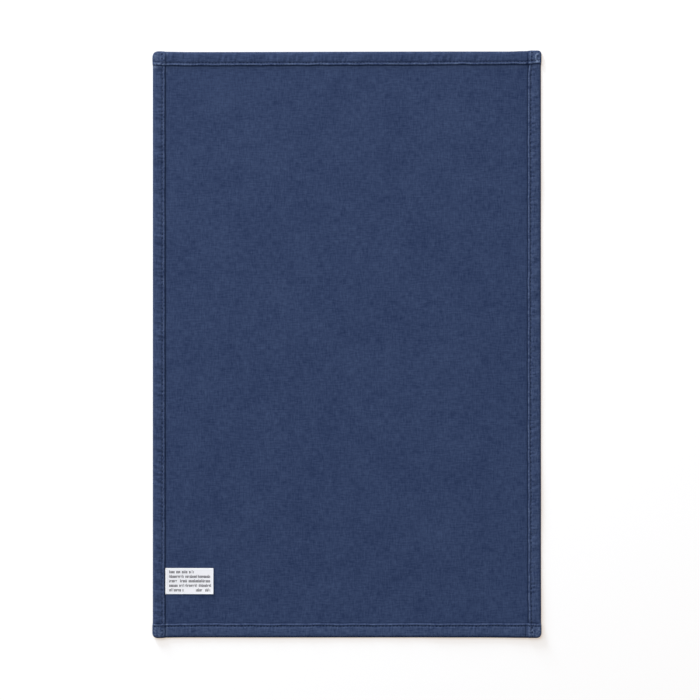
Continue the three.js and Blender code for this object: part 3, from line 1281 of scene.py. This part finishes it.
@dataclass
class CareLabel:
    """The white tape under the left hem: a thin closed sheet whose free end stands up a little."""

    form: TowelForm
    tucked: float = 1.6
    lip_gap: float = 0.45
    shown: float = 58.2
    width: float = 31.6
    above_end: float = 52.42
    thickness: float = 0.25
    clearance: float = 0.12
    curl: float = 1.0
    curl_power: float = 2.4
    corner_curl: float = 0.25
    waves: tuple[tuple[float, float], tuple[float, float]] = ((0.07, 31.0), (0.05, 23.0))
    steps_along: int = 72
    steps_across: int = 40
    edge_round: float = 0.14

    def sheet(self, face: bool) -> tuple[np.ndarray, np.ndarray, np.ndarray]:
        """One face of the tape as a grid.

        The height is the cloth's plus curl x f to the power 2.4 x (1 - v / 2), where f runs from the lip
        to the free end and v away from the towel's end, plus two shallow waves and a lifted lower
        edge, both of which grow with f.

        Args:
            face: True for the printed face, False for the back.

        Returns:
            Grid of points, and the places along and across the tape in millimetres.
        """
        span = self.tucked + self.shown
        u = np.linspace(0, 1, self.steps_along + 1)
        v = np.linspace(0, 1, self.steps_across + 1)
        u, v = np.meshgrid(u, v, indexing="ij")
        along = self.edge_round + u * (span - 2 * self.edge_round)
        across = self.edge_round + v * (self.width - 2 * self.edge_round)
        if not face:
            along, across = u * span, v * self.width
        left = self.form.hem(Side.LEFT)
        x = left.width - self.form.width / 2 + self.lip_gap - self.tucked + along
        y = self.above_end - self.form.length / 2 + across
        free = np.clip((along - self.tucked) / self.shown, 0, 1)
        (along_height, along_length), (across_height, across_length) = self.waves
        wave = along_height * np.sin(TURN * (along / along_length + 0.2 * v))
        wave = wave + across_height * np.sin(TURN * (across / across_length + 0.4 * u))
        edge = self.corner_curl * np.clip(1 - 3 * v, 0, 1) ** 2 * free**0.5
        raised = self.curl * free**self.curl_power * (1 - v / 2) + wave * free + edge
        cloth = self.form.cloth + self.form.ripple(x, y) + self.form.lift(x, y)
        height = cloth + self.clearance + np.clip(raised, 0, None) + (self.thickness if face else 0.0)
        middle_x, middle_y = self.form.middle
        return np.stack([x - middle_x, y - middle_y, height], -1), along, across

    def build(self) -> bpy.types.Object:
        """Builds the tape.

        Returns:
            The tape's object, with its places along and across it as values for the print.
        """
        draft = MeshDraft()
        grids = []
        for face in (True, False):
            points, along, across = self.sheet(face)
            values = {
                "tape_along": (along - self.tucked).ravel(),
                "tape_across": across.ravel(),
                "printed": float(face),
            }
            numbers = draft.add(points, values).reshape(along.shape)
            draft.grid(numbers, upward=face)
            grids.append(numbers)
        for upper, lower in zip(TowelCloth.chains(grids[0]), TowelCloth.chains(grids[1])):
            draft.wall(upper, lower)
        return draft.build("care_label_tape")


class Value:
    """One output of a shader node. Arithmetic on it adds Math nodes."""

    def __init__(self, shader: "Shader", socket: Socket) -> None:
        """Wraps a socket of one shader."""
        self.shader = shader
        self.socket = socket

    def __add__(self, other: "Value | float") -> "Value":
        """Sum."""
        return self.shader.math("ADD", self, other)

    def __sub__(self, other: "Value | float") -> "Value":
        """Difference."""
        return self.shader.math("SUBTRACT", self, other)

    def __rsub__(self, other: float) -> "Value":
        """Difference, the number first."""
        return self.shader.math("SUBTRACT", other, self)

    def __mul__(self, other: "Value | float") -> "Value":
        """Product."""
        return self.shader.math("MULTIPLY", self, other)

    def __truediv__(self, other: "Value | float") -> "Value":
        """Quotient."""
        return self.shader.math("DIVIDE", self, other)

    def __pow__(self, other: float) -> "Value":
        """Power."""
        return self.shader.math("POWER", self, other)

    __radd__ = __add__
    __rmul__ = __mul__

    def __abs__(self) -> "Value":
        """Size without sign."""
        return self.shader.math("ABSOLUTE", self)

    def least(self, other: "Value | float") -> "Value":
        """The smaller of two."""
        return self.shader.math("MINIMUM", self, other)

    def most(self, other: "Value | float") -> "Value":
        """The larger of two."""
        return self.shader.math("MAXIMUM", self, other)

    def floor(self) -> "Value":
        """The whole number below."""
        return self.shader.math("FLOOR", self)

    def wave(self, pitch: float) -> "Value":
        """A sine of a distance, one whole wave to each pitch, from -1 to 1."""
        return self.shader.math("SINE", self * (TURN / pitch))

    def below(self, edge: float, soft: float) -> "Value":
        """1 below an edge and 0 above it, over a soft width around it."""
        return self.shader.ramp(self, edge - soft / 2, edge + soft / 2, 1.0, 0.0)

    def above(self, edge: float, soft: float) -> "Value":
        """0 below an edge and 1 above it, over a soft width around it."""
        return self.shader.ramp(self, edge - soft / 2, edge + soft / 2, 0.0, 1.0)

    def near(self, middle: float, reach: float, soft: float) -> "Value":
        """1 within a reach of a middle and 0 further away, over a soft width."""
        return abs(self - middle).below(reach, soft)


class Shader:
    """A material's node tree, with the few helpers that the finishes are written in."""

    def __init__(self, name: str) -> None:
        """Makes a material with one Principled surface.

        Args:
            name: the material's name.
        """
        self.material = bpy.data.materials.new(name)
        self.material.use_nodes = True
        self.tree = self.material.node_tree
        self.tree.nodes.clear()
        self.surface = self.tree.nodes.new("ShaderNodeBsdfPrincipled")
        output = self.tree.nodes.new("ShaderNodeOutputMaterial")
        self.tree.links.new(self.surface.outputs["BSDF"], output.inputs["Surface"])

    def node(self, kind: str, settings: dict[str, object], inputs: dict[object, object]) -> bpy.types.Node:
        """Adds a node.

        Args:
            kind: the node's type.
            settings: its properties, set first.
            inputs: values or links by socket name or number.

        Returns:
            The node.
        """
        made = self.tree.nodes.new(kind)
        for name, value in settings.items():
            setattr(made, name, value)
        for key, value in inputs.items():
            self.feed(made.inputs[key], value)
        return made

    def feed(self, socket: Socket, value: object) -> None:
        """Links a Value or a socket to an input, or sets a number, colour or vector on it.

        Args:
            socket: the input.
            value: what goes into it. A colour is given without its alpha of 1.
        """
        source = value.socket if isinstance(value, Value) else value
        if isinstance(source, Socket):
            self.tree.links.new(source, socket)
        elif isinstance(source, tuple):
            socket.default_value = (*source, 1.0)[: len(socket.default_value)]
        else:
            socket.default_value = source

    def read(self, kind: str, settings: dict[str, object], inputs: dict[object, object]) -> Value:
        """The first output of a new node, as a Value."""
        return Value(self, self.node(kind, settings, inputs).outputs[0])

    def math(self, operation: str, first: object, second: object = 0.0) -> Value:
        """A Math node on one or two values."""
        return self.read("ShaderNodeMath", {"operation": operation}, {0: first, 1: second})

    def ramp(self, value: Value, low: float, high: float, at_low: float, at_high: float) -> Value:
        """A smooth step from one number to another as a value goes from low to high."""
        inputs = {"Value": value, "From Min": low, "From Max": high, "To Min": at_low, "To Max": at_high}
        return self.read("ShaderNodeMapRange", {"interpolation_type": "SMOOTHSTEP", "clamp": True}, inputs)

    def attribute(self, name: str) -> Value:
        """A per-vertex value of the mesh."""
        return Value(self, self.node("ShaderNodeAttribute", {"attribute_name": name}, {}).outputs["Fac"])

    def chance(self, cell: Value, row: Value | float) -> Value:
        """A random number from 0 to 1 for each cell of a row."""
        inputs = {"Vector": self.vector(cell, row)}
        return self.read("ShaderNodeTexWhiteNoise", {"noise_dimensions": "2D"}, inputs)

    def place(self) -> Socket:
        """Object coordinates, in metres."""
        return self.node("ShaderNodeTexCoord", {}, {}).outputs["Object"]

    def axes(self, vector: Socket) -> tuple[Value, Value, Value]:
        """The three parts of a vector."""
        parts = self.node("ShaderNodeSeparateXYZ", {}, {"Vector": vector})
        return tuple(Value(self, output) for output in parts.outputs)

    def vector(self, x: object, y: object, z: object = 0.0) -> Socket:
        """A vector from three values or numbers."""
        return self.node("ShaderNodeCombineXYZ", {}, {0: x, 1: y, 2: z}).outputs[0]

    def noise(self, vector: Socket, scale: float, detail: float = 2.0, roughness: float = 0.5) -> Value:
        """Smooth noise around 0, about -1 to 1."""
        inputs = {"Vector": vector, "Scale": scale, "Detail": detail, "Roughness": roughness}
        return (self.read("ShaderNodeTexNoise", {"noise_dimensions": "3D"}, inputs) - 0.5) * 2.0

    def blend(self, factor: object, first: object, second: object) -> Socket:
        """A mix of two colours."""
        made = self.node("ShaderNodeMix", {"data_type": "RGBA"}, {0: factor, 6: first, 7: second})
        return made.outputs[2]

    def scaled(self, colour: object, factor: Value) -> Socket:
        """A colour times a value."""
        inputs = {"Vector": colour, "Scale": factor}
        return self.node("ShaderNodeVectorMath", {"operation": "SCALE"}, inputs).outputs["Vector"]

    def bump(self, height: Value, distance: float, strength: float) -> None:
        """Feeds the surface's normal from a height.

        Args:
            height: the height, from 0 to about 1.
            distance: what a height of 1 stands for, in metres.
            strength: share of it that shows.
        """
        inputs = {"Height": height, "Distance": distance, "Strength": strength}
        made = self.node("ShaderNodeBump", {}, inputs)
        self.feed(self.surface.inputs["Normal"], made.outputs["Normal"])

    def set(self, **sockets: object) -> None:
        """Sets or feeds inputs of the surface; an underscore in a name stands for a space."""
        for name, value in sockets.items():
            self.feed(self.surface.inputs[name.replace("_", " ")], value)


@dataclass(frozen=True)
class TwillFinish:
    """Garment-washed navy twill: diagonal wales, slubby yarns, soft mottling, worn hems and corners.

    Lengths are in millimetres. A mottle is its share, its scale to the metre and its detail. The colour is
    also mixed towards the shaded colour as painted shade at the needle holes, at the lip feet, along the
    right and lower folds, in the lower seam's valley and in some dips, and towards the faded colour as
    painted highlights past some lips and on small bulges.
    """

    deep: Colour = (0.0086, 0.0202, 0.0668)
    pale: Colour = (0.0391, 0.0621, 0.1338)
    # Paler colour for real wear, also used for the painted highlights.
    faded: Colour = (0.22, 0.29, 0.44)
    shaded: Colour = (0.001, 0.0078, 0.034)
    sheen: Colour = (0.55, 0.66, 0.9)
    wale_pitch: float = 0.95
    wale_drift: float = 1.6
    yarn_pitch: float = 0.42
    slub_long: float = 9.0
    slub_thin: float = 1.7
    slub_share: float = 0.65
    wale_share: float = 0.1
    mottles: tuple[tuple[float, float, float], ...] = (
        (0.16, 110.0, 2.0),
        (0.21, 28.0, 2.0),
        (0.12, 11.0, 1.0),
    )
    # How deep the painted shade at the lip feet goes.
    crevice_shade_depth: float = 0.62
    darkest_hole: float = 0.93
    hem_wear: float = 0.026
    stack_wear: float = 0.07
    # Also how strong the painted highlights past the lips and on bulges are.
    lip_wear: float = 0.06
    tip_wear: float = 0.5
    relief: float = 0.16

    def build(self, tuck: Tuck) -> bpy.types.Material:
        """Builds the material.

        Args:
            tuck: the worn ridge on one corner.

        Returns:
            The twill.
        """
        shader = Shader("navy_cotton_twill")
        place = shader.place()
        x, y = (part / MM for part in shader.axes(place)[:2])
        slub = self.slubs(shader, x, y)
        wales, yarns = self.weave(shader, x, y)
        yarn = 0.5 + self.slub_share * slub + self.wale_share * (wales - 0.5)
        for share, scale, detail in self.mottles:
            yarn = yarn + share * shader.noise(place, scale, detail)
        # Painted shade: the needle holes, the right and lower folds, the lower seam's valley, the dark dips
        # and the lip feet take the colour towards the shaded colour.
        lit = (1.0 - self.needle_holes(shader)) * (1.0 - shader.attribute("rim"))
        lit = lit * (1.0 - self.crevice_shade_depth * shader.attribute("crevice"))
        # Real wear and the painted highlights past lips and on bulges both mix in the faded colour.
        worn = self.wear(shader, x, y, slub) + self.rubbed(shader, x, y, tuck)
        base = shader.blend(worn, shader.blend(yarn, self.deep, self.pale), self.faded)
        shader.set(
            Base_Color=shader.blend(1.0 - lit, base, self.shaded),
            Roughness=0.9 + 0.05 * slub,
            Specular_IOR_Level=0.12,
            Sheen_Weight=0.12,
            Sheen_Roughness=0.6,
            Sheen_Tint=self.sheen,
        )
        shader.bump(0.45 * wales + 0.25 * yarns + 0.3 * slub, self.relief * MM, 0.7)
        return shader.material

    def slubs(self, shader: Shader, x: Value, y: Value) -> Value:
        """Uneven yarns: noise drawn out along X plus noise drawn out along Y.

        Args:
            shader: the material's shader.
            x: place across the towel, in millimetres.
            y: place along the towel, in millimetres.

        Returns:
            How thick and pale the yarns are, around 0.
        """
        weft = shader.noise(shader.vector(x / self.slub_long, y / self.slub_thin, 0.0), 1.0, 2.0, 0.6)
        warp = shader.noise(shader.vector(x / self.slub_thin, y / self.slub_long, 7.0), 1.0, 2.0, 0.6)
        return weft + warp

    def weave(self, shader: Shader, x: Value, y: Value) -> tuple[Value, Value]:
        """Wales and yarns: sines along the diagonal, which leans the other way on the turned hems.

        Args:
            shader: the material's shader.
            x: place across the towel, in millimetres.
            y: place along the towel, in millimetres.

        Returns:
            Heights of the wales and of the single yarns, 0 to 1.
        """
        way = 1.0 - 2.0 * shader.attribute("hem").above(0.5, 0.1)
        slow = shader.noise(shader.vector(x, y, 3.0), 0.12, 1.0)
        pitch = self.wale_pitch * math.sqrt(2)
        wales = (x + y * way + slow * (self.wale_drift * pitch / TURN)).wave(pitch) * 0.5 + 0.5
        yarns = x.wave(self.yarn_pitch) * y.wave(self.yarn_pitch) * 0.5 + 0.5
        return wales, yarns

    def needle_holes(self, shader: Shader) -> Value:
        """Painted shade at the needle holes where the thread goes down, from the count of stitches along the
        nearest seam.

        Args:
            shader: the material's shader.

        Returns:
            How dark each place is, 0 away from the holes.
        """
        run, off = shader.attribute("seam_run"), shader.attribute("seam_off")
        from_hole = 0.5 - abs(run - run.floor() - 0.5)
        pull = 0.4 + 1.2 * shader.chance((run + 0.5).floor(), 1.0)
        spot = from_hole.below(0.2, 0.12) * off.near(0.0, 0.8, 0.5)
        return (spot * shader.attribute("hole_dark") * pull).least(self.darkest_hole)

    def wear(self, shader: Shader, x: Value, y: Value, slub: Value) -> Value:
        """Share of faded colour: the hems a little; lips, the painted highlights past lips and on bulges, and
        stacked corners more.

        Args:
            shader: the material's shader.
            x: place across the towel, in millimetres.
            y: place along the towel, in millimetres.
            slub: the uneven yarns, whose thick places wear first.

        Returns:
            The share, which is also patchy and grainy.
        """
        patches = 1.0 + 1.1 * shader.noise(shader.vector(x, y, 11.0), 0.2, 2.0) + 1.2 * slub
        grain = shader.noise(shader.vector(x, y, 31.0), 0.42, 2.0)
        hems = self.hem_wear * shader.attribute("worn") * patches
        lips = self.lip_wear * shader.attribute("lip") * (patches + 5.0 * grain)
        # Painted highlights past the lips and on small bulges.
        painted_highlights = self.lip_wear * shader.attribute("spot") * (1.0 + 1.2 * grain)
        stacks = self.stack_wear * shader.attribute("stack") * (1.1 + 5.5 * grain + 1.6 * slub)
        return hems + lips + painted_highlights + stacks

    def rubbed(self, shader: Shader, x: Value, y: Value, tuck: Tuck) -> Value:
        """Share of faded colour on the tuck's ridge and at its tip, by the same oval as its height.

        Args:
            shader: the material's shader.
            x: place across the towel, in millimetres.
            y: place along the towel, in millimetres.
            tuck: the ridge.

        Returns:
            The share, most on the ridge's outer side.
        """
        across = (x - tuck.centre_x) / tuck.half_width
        along = (y - tuck.centre_y) / tuck.half_length
        radius = (abs(across) ** tuck.squareness + abs(along) ** tuck.squareness) ** (1 / tuck.squareness)
        ridge = radius.near(1.0, 0.24, 0.3) * across.below(0.62, 0.4)
        tip_x, tip_y, reach_x, reach_y = tuck.tip
        beside, above = (x - tip_x) / reach_x, (y - tip_y) / reach_y
        tip = ((beside * beside + above * above) ** 0.5).below(1.0, 0.6)
        patches = 0.35 - 0.24 * across + 0.1 * shader.noise(shader.vector(x, y, 5.0), 0.5, 1.0)
        return ridge.most(tip * self.tip_wear) * patches


@dataclass(frozen=True)
class ThreadFinish:
    """Polished navy sewing cotton, with the slant of its twist. Lengths are in millimetres."""

    navy: Colour = (0.028, 0.048, 0.11)
    twist_pitch: float = 0.42
    relief: float = 0.06

    def build(self) -> bpy.types.Material:
        """Builds the material.

        Returns:
            The thread.
        """
        shader = Shader("navy_sewing_thread")
        x, y, z = shader.axes(shader.place())
        twist = (x + y + z * 0.6).wave(self.twist_pitch * MM) * 0.5 + 0.5
        tone = 1.0 + 0.1 * shader.attribute("shade") + 0.25 * (twist - 0.5)
        shader.set(
            Base_Color=shader.scaled(self.navy, tone),
            Roughness=0.6 + 0.1 * twist,
            Specular_IOR_Level=0.25,
            Sheen_Weight=0.15,
        )
        shader.bump(twist, self.relief * MM, 0.6)
        return shader.material


@dataclass(frozen=True)
class PrintRun:
    """One run of print on the label: its row from below, and where it starts and ends in millimetres."""

    row: int
    start: float
    end: float


@dataclass(frozen=True)
class Mark:
    """One printed mark as shares of its cell: two stems and two bars, and the odds that it lacks one.

    A stem or bar is its middle and half its width. up is counted from the middle of the row.
    """

    left_stem: tuple[float, float] = (0.24, 0.16)
    right_stem: tuple[float, float] = (0.7, 0.16)
    bar: tuple[float, float] = (0.47, 0.36)
    bar_up: tuple[float, float] = (0.38, 0.16)
    body_up: tuple[float, float] = (0.0, 0.52)
    tall_up: tuple[float, float] = (0.22, 0.74)
    no_mark: float = 0.13
    no_head: float = 0.3
    no_base: float = 0.4
    no_right_stem: float = 0.22
    not_tall: float = 0.72

    def strokes(self, within: Value, up: Value, first: Value, second: Value) -> Value:
        """The strokes that chance leaves of a mark.

        Args:
            within: place in the cell along the row, 0 to 1.
            up: place across the row.
            first: a random number of the cell.
            second: another one.

        Returns:
            1 where there is ink.
        """
        tall = up.near(*self.tall_up, 0.12) * first.above(self.not_tall, 0.01)
        body = up.near(*self.body_up, 0.12)
        left = within.near(*self.left_stem, 0.08) * body.most(tall)
        right = within.near(*self.right_stem, 0.08) * body * second.above(self.no_right_stem, 0.01)
        width = within.near(*self.bar, 0.08)
        bar_up, bar_half = self.bar_up
        head = up.near(bar_up, bar_half, 0.1) * width * first.below(1.0 - self.no_head, 0.01)
        base = up.near(-bar_up, bar_half, 0.1) * width * second.above(self.no_base, 0.01)
        return (left + right + head + base).least(1.0) * first.above(self.no_mark, 0.01)


@dataclass(frozen=True)
class TapeFinish:
    """White woven tape with a bright edge and rows of small grey marks that spell nothing.

    Lengths are in millimetres. The end that comes out from under the hem has a painted highlight, and the
    tucked end painted shade.
    """

    white: Colour = (0.828, 0.822, 0.85)
    rim: Colour = (0.936, 0.958, 0.995)
    # A painted highlight on the end that comes out from under the hem.
    lip_edge_highlight: Colour = (0.998, 0.999, 1.0)
    ink: Colour = (0.03, 0.03, 0.035)
    weft_pitch: float = 0.34
    warp_pitch: float = 0.5
    relief: float = 0.04
    rim_width: float = 1.7
    woven_line: tuple[float, float] = (2.4, 2.9)
    top_rim_width: float = 1.55
    top_rim_dark: float = 0.2
    # Painted shade on the end tucked under the hem.
    tucked_shade: float = 0.992
    mark: Mark = Mark()
    mark_pitch: float = 1.72
    mark_height: float = 2.45
    row_pitch: float = 5.48
    row_slip: float = 0.37
    first_row: float = 4.72
    runs: tuple[PrintRun, ...] = (
        PrintRun(4, 4.4, 34.5),
        PrintRun(3, 4.4, 54.2),
        PrintRun(2, 4.4, 54.2),
        PrintRun(1, 4.4, 55.2),
        PrintRun(0, 4.4, 21.8),
        PrintRun(0, 37.0, 54.2),
    )

    def build(self, label: CareLabel) -> bpy.types.Material:
        """Builds the material.

        Args:
            label: the tape, whose rim follows its sizes.

        Returns:
            The tape.
        """
        shader = Shader("white_label_tape")
        along, across = shader.attribute("tape_along"), shader.attribute("tape_across")
        weft = across.wave(self.weft_pitch) * 0.5 + 0.5
        warp = along.wave(self.warp_pitch) * 0.5 + 0.5
        near_end = along.least(label.shown - along)
        from_edge = near_end.least(across.least(label.width - across))
        outer, inner = self.woven_line
        line = from_edge.above(outer, 0.25) - from_edge.above(inner, 0.25)
        base = shader.blend(from_edge.above(self.rim_width, 0.5), self.rim, self.white)
        # A painted highlight along the end that comes out from under the hem's lip.
        base = shader.blend(along.below(self.rim_width, 0.6), base, self.lip_edge_highlight)
        ink = self.marks(shader, along, across) * shader.attribute("printed")
        base = shader.blend(ink + line * 0.05, base, self.ink)
        # Painted shade on the end tucked under the hem's lip, and a darker top edge.
        lit = 1.0 - self.tucked_shade * along.below(-0.18, 0.25)
        lit = lit - self.top_rim_dark * across.above(label.width - self.top_rim_width, 0.4)
        shader.set(
            Base_Color=shader.scaled(base, (0.97 + 0.04 * weft * warp) * lit),
            Roughness=0.62 + 0.1 * weft,
            Specular_IOR_Level=0.25,
            Sheen_Weight=0.05,
        )
        shader.bump(0.6 * weft + 0.4 * warp, self.relief * MM, 0.5)
        return shader.material

    def marks(self, shader: Shader, along: Value, across: Value) -> Value:
        """Rows of small marks in groups with gaps, drawn by chance.

        The tape is cut into cells, one mark's pitch along and one row's pitch across. Two random
        numbers for each cell say which strokes of a mark it holds, and whether it is a gap.

        Args:
            shader: the material's shader.
            along: place along the tape, in millimetres.
            across: place across the tape, in millimetres.

        Returns:
            1 where there is ink.
        """
        row = ((across - self.first_row) / self.row_pitch + 0.5).floor()
        up = (across - self.first_row - row * self.row_pitch) / self.mark_height
        column = along / self.mark_pitch + row * self.row_slip
        cell = column.floor()
        first, second = (shader.chance(cell, row + shift) for shift in (0.25, 40.25))
        ink = self.mark.strokes(column - cell, up, first, second)
        shown: Value | float = 0.0
        for run in self.runs:
            in_run = along.above(run.start, 0.05) * along.below(run.end, 0.05)
            shown = row.near(run.row, 0.5, 0.1) * in_run + shown
        return ink * shown


@dataclass(frozen=True)
class Lamp:
    """One soft round lamp that looks at the middle of the towel."""

    name: str
    azimuth: float
    elevation: float
    size: float
    power: float
    tint: Colour = (1.04, 1.0, 0.95)
    distance: float = 6.0

    def build(self) -> None:
        """Hangs the lamp at its azimuth and elevation, in degrees, turned to the origin."""
        lamp = bpy.data.lights.new(self.name, "AREA")
        lamp.shape = "DISK"
        lamp.size = self.size
        lamp.energy = self.power
        lamp.color = self.tint
        holder = bpy.data.objects.new(self.name, lamp)
        bpy.context.scene.collection.objects.link(holder)
        turn, climb = math.radians(self.azimuth), math.radians(self.elevation)
        way = (math.cos(climb) * math.cos(turn), math.cos(climb) * math.sin(turn), math.sin(climb))
        holder.location = [self.distance * part for part in way]
        aim = -holder.location.normalized()
        holder.rotation_euler = aim.to_track_quat("-Z", "Y").to_euler()


@dataclass
class Studio:
    """A white floor, soft light from the upper left, and a camera straight above the towel."""

    look_x: float = 3.763
    look_y: float = -6.944
    frame_width: float = 848.3
    lens: float = 85.0
    sensor: float = 36.0
    floor_size: float = 14.0
    floor_paint: Colour = (0.5, 0.63, 0.76)
    floor_glow: Colour = (0.517, 0.38, 0.24)
    floor_grain: float = 0.004
    sight: float = 50.0
    room_light: float = 0.367
    room_tint: Colour = (0.86, 0.97, 1.12)
    lamps: tuple[Lamp, ...] = (
        Lamp("softbox", azimuth=123.0, elevation=40.5, size=6.2, power=334.0),
        Lamp("low_softbox", azimuth=118.0, elevation=10.8, size=1.6, power=434.0),
    )

    def floor(self) -> None:
        """A large pale plane under the towel, as a stage."""
        half = self.floor_size / 2
        mesh = bpy.data.meshes.new("studio_floor")
        corners = [(-half, -half, 0.0), (half, -half, 0.0), (half, half, 0.0), (-half, half, 0.0)]
        mesh.from_pydata(corners, [], [(0, 1, 2, 3)])
        plane = bpy.data.objects.new("studio_floor", mesh)
        bpy.context.scene.collection.objects.link(plane)
        shader = Shader("studio_white")
        grain = shader.noise(shader.place(), 3.0, 1.0)
        shader.set(
            Base_Color=shader.scaled(self.floor_paint, 1.0 + self.floor_grain * grain),
            Roughness=0.9,
            Specular_IOR_Level=0.0,
            Emission_Color=self.floor_glow,
            Emission_Strength=1.0,
        )
        plane.data.materials.append(shader.material)

    def lights(self) -> None:
        """The soft light of the room, a broad lamp at the upper left and a low one for the long shadow."""
        world = bpy.data.worlds.new("studio_room")
        bpy.context.scene.world = world
        world.use_nodes = True
        background = world.node_tree.nodes["Background"]
        background.inputs["Color"].default_value = (*self.room_tint, 1.0)
        background.inputs["Strength"].default_value = self.room_light
        for lamp in self.lamps:
            lamp.build()

    def camera(self) -> None:
        """A long lens straight above, framed as the photograph is."""
        data = bpy.data.cameras.new("overhead_camera")
        data.lens = self.lens
        data.sensor_width = self.sensor
        data.clip_end = self.sight
        eye = bpy.data.objects.new("overhead_camera", data)
        bpy.context.scene.collection.objects.link(eye)
        height = self.frame_width * self.lens / self.sensor
        eye.location = (self.look_x * MM, self.look_y * MM, height * MM)
        bpy.context.scene.camera = eye

    def build(self) -> None:
        """Sets floor, lights, camera and a plain view transform."""
        self.camera()
        self.floor()
        self.lights()
        bpy.context.scene.view_settings.view_transform = "Standard"


def dress(piece: bpy.types.Object, finish: bpy.types.Material) -> bpy.types.Object:
    """Gives a piece its finish, lets it ride on the towel's one body, and reports it.

    Args:
        piece: the piece.
        finish: its material.

    Returns:
        The piece.
    """
    piece.data.materials.append(finish)
    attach(piece, "root")
    LOG.info("%s: %d faces", piece.name, len(piece.data.polygons))
    return piece


def main() -> None:
    """Builds the studio, the cloth, its thread and the label, and works out the towel's width and the tape's
    flat size.
    """
    logging.basicConfig(level=logging.INFO, format="%(message)s")
    Studio().build()

    cloth = TowelCloth()
    sheet = dress(cloth.build(), TwillFinish().build(cloth.tuck))
    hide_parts("towel_cloth")

    thread_finish = ThreadFinish().build()
    thread = Lockstitch(cloth)
    threads = [dress(thread.build(face), thread_finish) for face in (True, False)]

    label = CareLabel(cloth.form)
    tape = dress(label.build(), TapeFinish().build(label))
    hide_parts("care_label")

    form = cloth.form
    form.width * MM
    tape_flat = ((label.tucked + label.shown) * MM, label.width * MM)


if __name__ == "__main__":
    main()
